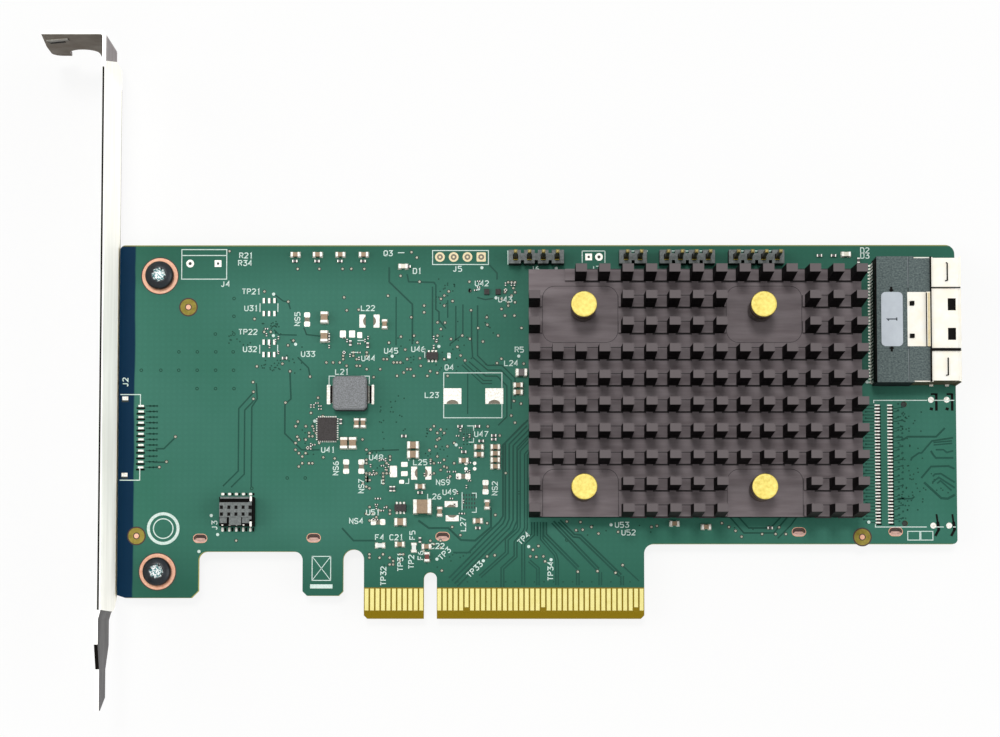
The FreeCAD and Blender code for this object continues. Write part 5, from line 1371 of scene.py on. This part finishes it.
def tabFace():
    # the tab's inner face is the commonest Y among the bracket's points far out on the tab
    high = nodeBox("bracket")[1].y
    found = [round(vert.co.y / mm, 2) for vert in nodes["bracket"].data.vertices
             if vert.co.x / mm < ribLook["tabFrom"]]
    inner = [y for y in found if high - 1.0 < y < high - 0.3]
    return max(inner, key=inner.count)


def tabRib():
    bm = bmesh.new()
    face = tabFace()
    crest = ribLook["crest"]
    shade = [(x + ribLook["aside"][0], z + ribLook["aside"][1]) for x, z in crest[:3]]
    for points, (thick, proud), index in ((crest, ribLook["crestSize"], 0), (shade, ribLook["shadeSize"], 1)):
        left, right = stripSides(points, thick)
        near, far = ([bm.verts.new((x, y, z)) for x, z in left + right[::-1]]
                     for y in (face - proud, face + ribLook["root"]))
        addFace(bm, near, index)
        addSkin(bm, [near, far], index)
    return finishPiece("tabRib", bm, ["brightTin", "shadedCavity"])


pieces = [boardInk(), boardTracks(), boardVias(), pluggedVias(), bareLands(), copperRings(), sightingMarks(),
          solderJoints(), smallResistors(), tinyCapacitors(), screwHeads(), pushPins(), pinSprings(),
          portDetails(), sinkLines(), headerPinShading(), programSocket(), programSocketFeet(), tabRib()]
print("pieces built:", len(pieces))


# Studio: white floor under the card, soft light from above and both sides, camera over the card.
# Each lamp has a direction, a strength and an angle.
studio = {
    "floorSize": 3.0, "floorWhite": "#F7F7F5", "floorShare": 0.86, "floorDrop": 0.0002, "skyStrength": 0.45,
    "keyLight": ((-0.06, 0.3, 1.0), 0.92, 12.0), "rightFill": ((1.0, -0.1, 0.6), 0.78, 45.0),
    "leftFill": ((-1.0, 0.1, 0.7), 0.75, 45.0), "bracketCard": ((1.0, 0.0, 0.45), 1.45, 45.0),
    "cameraPlace": (14.87, -9.58, 449.55), "cameraTurn": (3.562, 0.269, 0.018), "lens": 88.31, "shiftY": 0.15,
}


def whiteFloor():
    made, tree, shader = newMaterial("paintedStudioFloor", studio["floorWhite"], 0.9, 0.0, 0.1)
    place = addNode(tree, "TexCoord").outputs["Object"]
    grain = addNode(tree, "TexNoise", {"Scale": perMm(40.0)}, {"Vector": place})
    relief = addNode(tree, "Bump", {"Strength": 0.02}, {"Height": grain})
    tree.links.new(relief.outputs["Normal"], shader.inputs["Normal"])
    # seen straight, the floor is mostly its own white, with part of the card's shadow left in it
    glow = addNode(tree, "Emission", {"Strength": 1.0})
    ray = addNode(tree, "LightPath").outputs["Is Camera Ray"]
    share = addNode(tree, "Math", {"operation": "MULTIPLY", 1: studio["floorShare"]}, {0: ray})
    mix = addNode(tree, "MixShader", {}, {0: share, 1: shader, 2: glow})
    tree.links.new(mix.outputs["Shader"], tree.nodes["Material Output"].inputs["Surface"])
    half = studio["floorSize"] / 2
    mesh = bpy.data.meshes.new("studioFloor")
    level = cadBounds[0][2] - studio["floorDrop"]
    mesh.from_pydata([(-half, -half, level), (half, -half, level), (half, half, level), (-half, half, level)],
                     [], [(0, 1, 2, 3)])
    mesh.materials.append(made)
    floor = bpy.data.objects.new("studioFloor", mesh)
    bpy.context.scene.collection.objects.link(floor)


def sunLamp(name):
    direction, strength, angle = studio[name]
    lamp = bpy.data.lights.new(name, "SUN")
    lamp.energy = strength
    lamp.angle = math.radians(angle)
    holder = bpy.data.objects.new(name, lamp)
    holder.rotation_euler = Vector(direction).to_track_quat("Z", "Y").to_euler()
    bpy.context.scene.collection.objects.link(holder)
    return holder


def lightAndCamera():
    for name in ("keyLight", "rightFill", "leftFill"):
        sunLamp(name)
    # a white card held to the bracket's long face: this lamp lights that plate alone
    lit = bpy.data.collections.new("cardReceivers")
    lit.objects.link(nodes["bracket"])
    sunLamp("bracketCard").light_linking.receiver_collection = lit
    world = bpy.data.worlds.new("studioSky")
    world.use_nodes = True
    tree = world.node_tree
    background = tree.nodes["Background"]
    background.inputs["Color"].default_value = (1.0, 1.0, 1.0, 1.0)
    # white wherever it is seen, straight or mirrored, and softer as a light
    path = addNode(tree, "LightPath").outputs
    seen = addNode(tree, "Math", {"operation": "ADD"}, {0: path["Is Camera Ray"], 1: path["Is Glossy Ray"]})
    shown = addNode(tree, "Math", {"operation": "ADD", "use_clamp": True},
                    {0: seen, 1: path["Is Transmission Ray"]})
    level = addNode(tree, "MapRange", {"To Min": studio["skyStrength"], "To Max": 1.0}, {"Value": shown})
    tree.links.new(level.outputs["Result"], background.inputs["Strength"])
    bpy.context.scene.world = world
    camera = bpy.data.cameras.new("studioCamera")
    camera.lens = studio["lens"]
    camera.sensor_width = 36.0
    camera.shift_y = studio["shiftY"]
    camera.clip_start = 0.01
    camera.clip_end = 20.0
    holder = bpy.data.objects.new("studioCamera", camera)
    holder.location = [v * mm for v in studio["cameraPlace"]]
    holder.rotation_euler = [math.radians(v) for v in studio["cameraTurn"]]
    bpy.context.scene.collection.objects.link(holder)
    bpy.context.scene.camera = holder


whiteFloor()
lightAndCamera()
bpy.context.scene.view_settings.view_transform = "Standard"
print("studio ready")
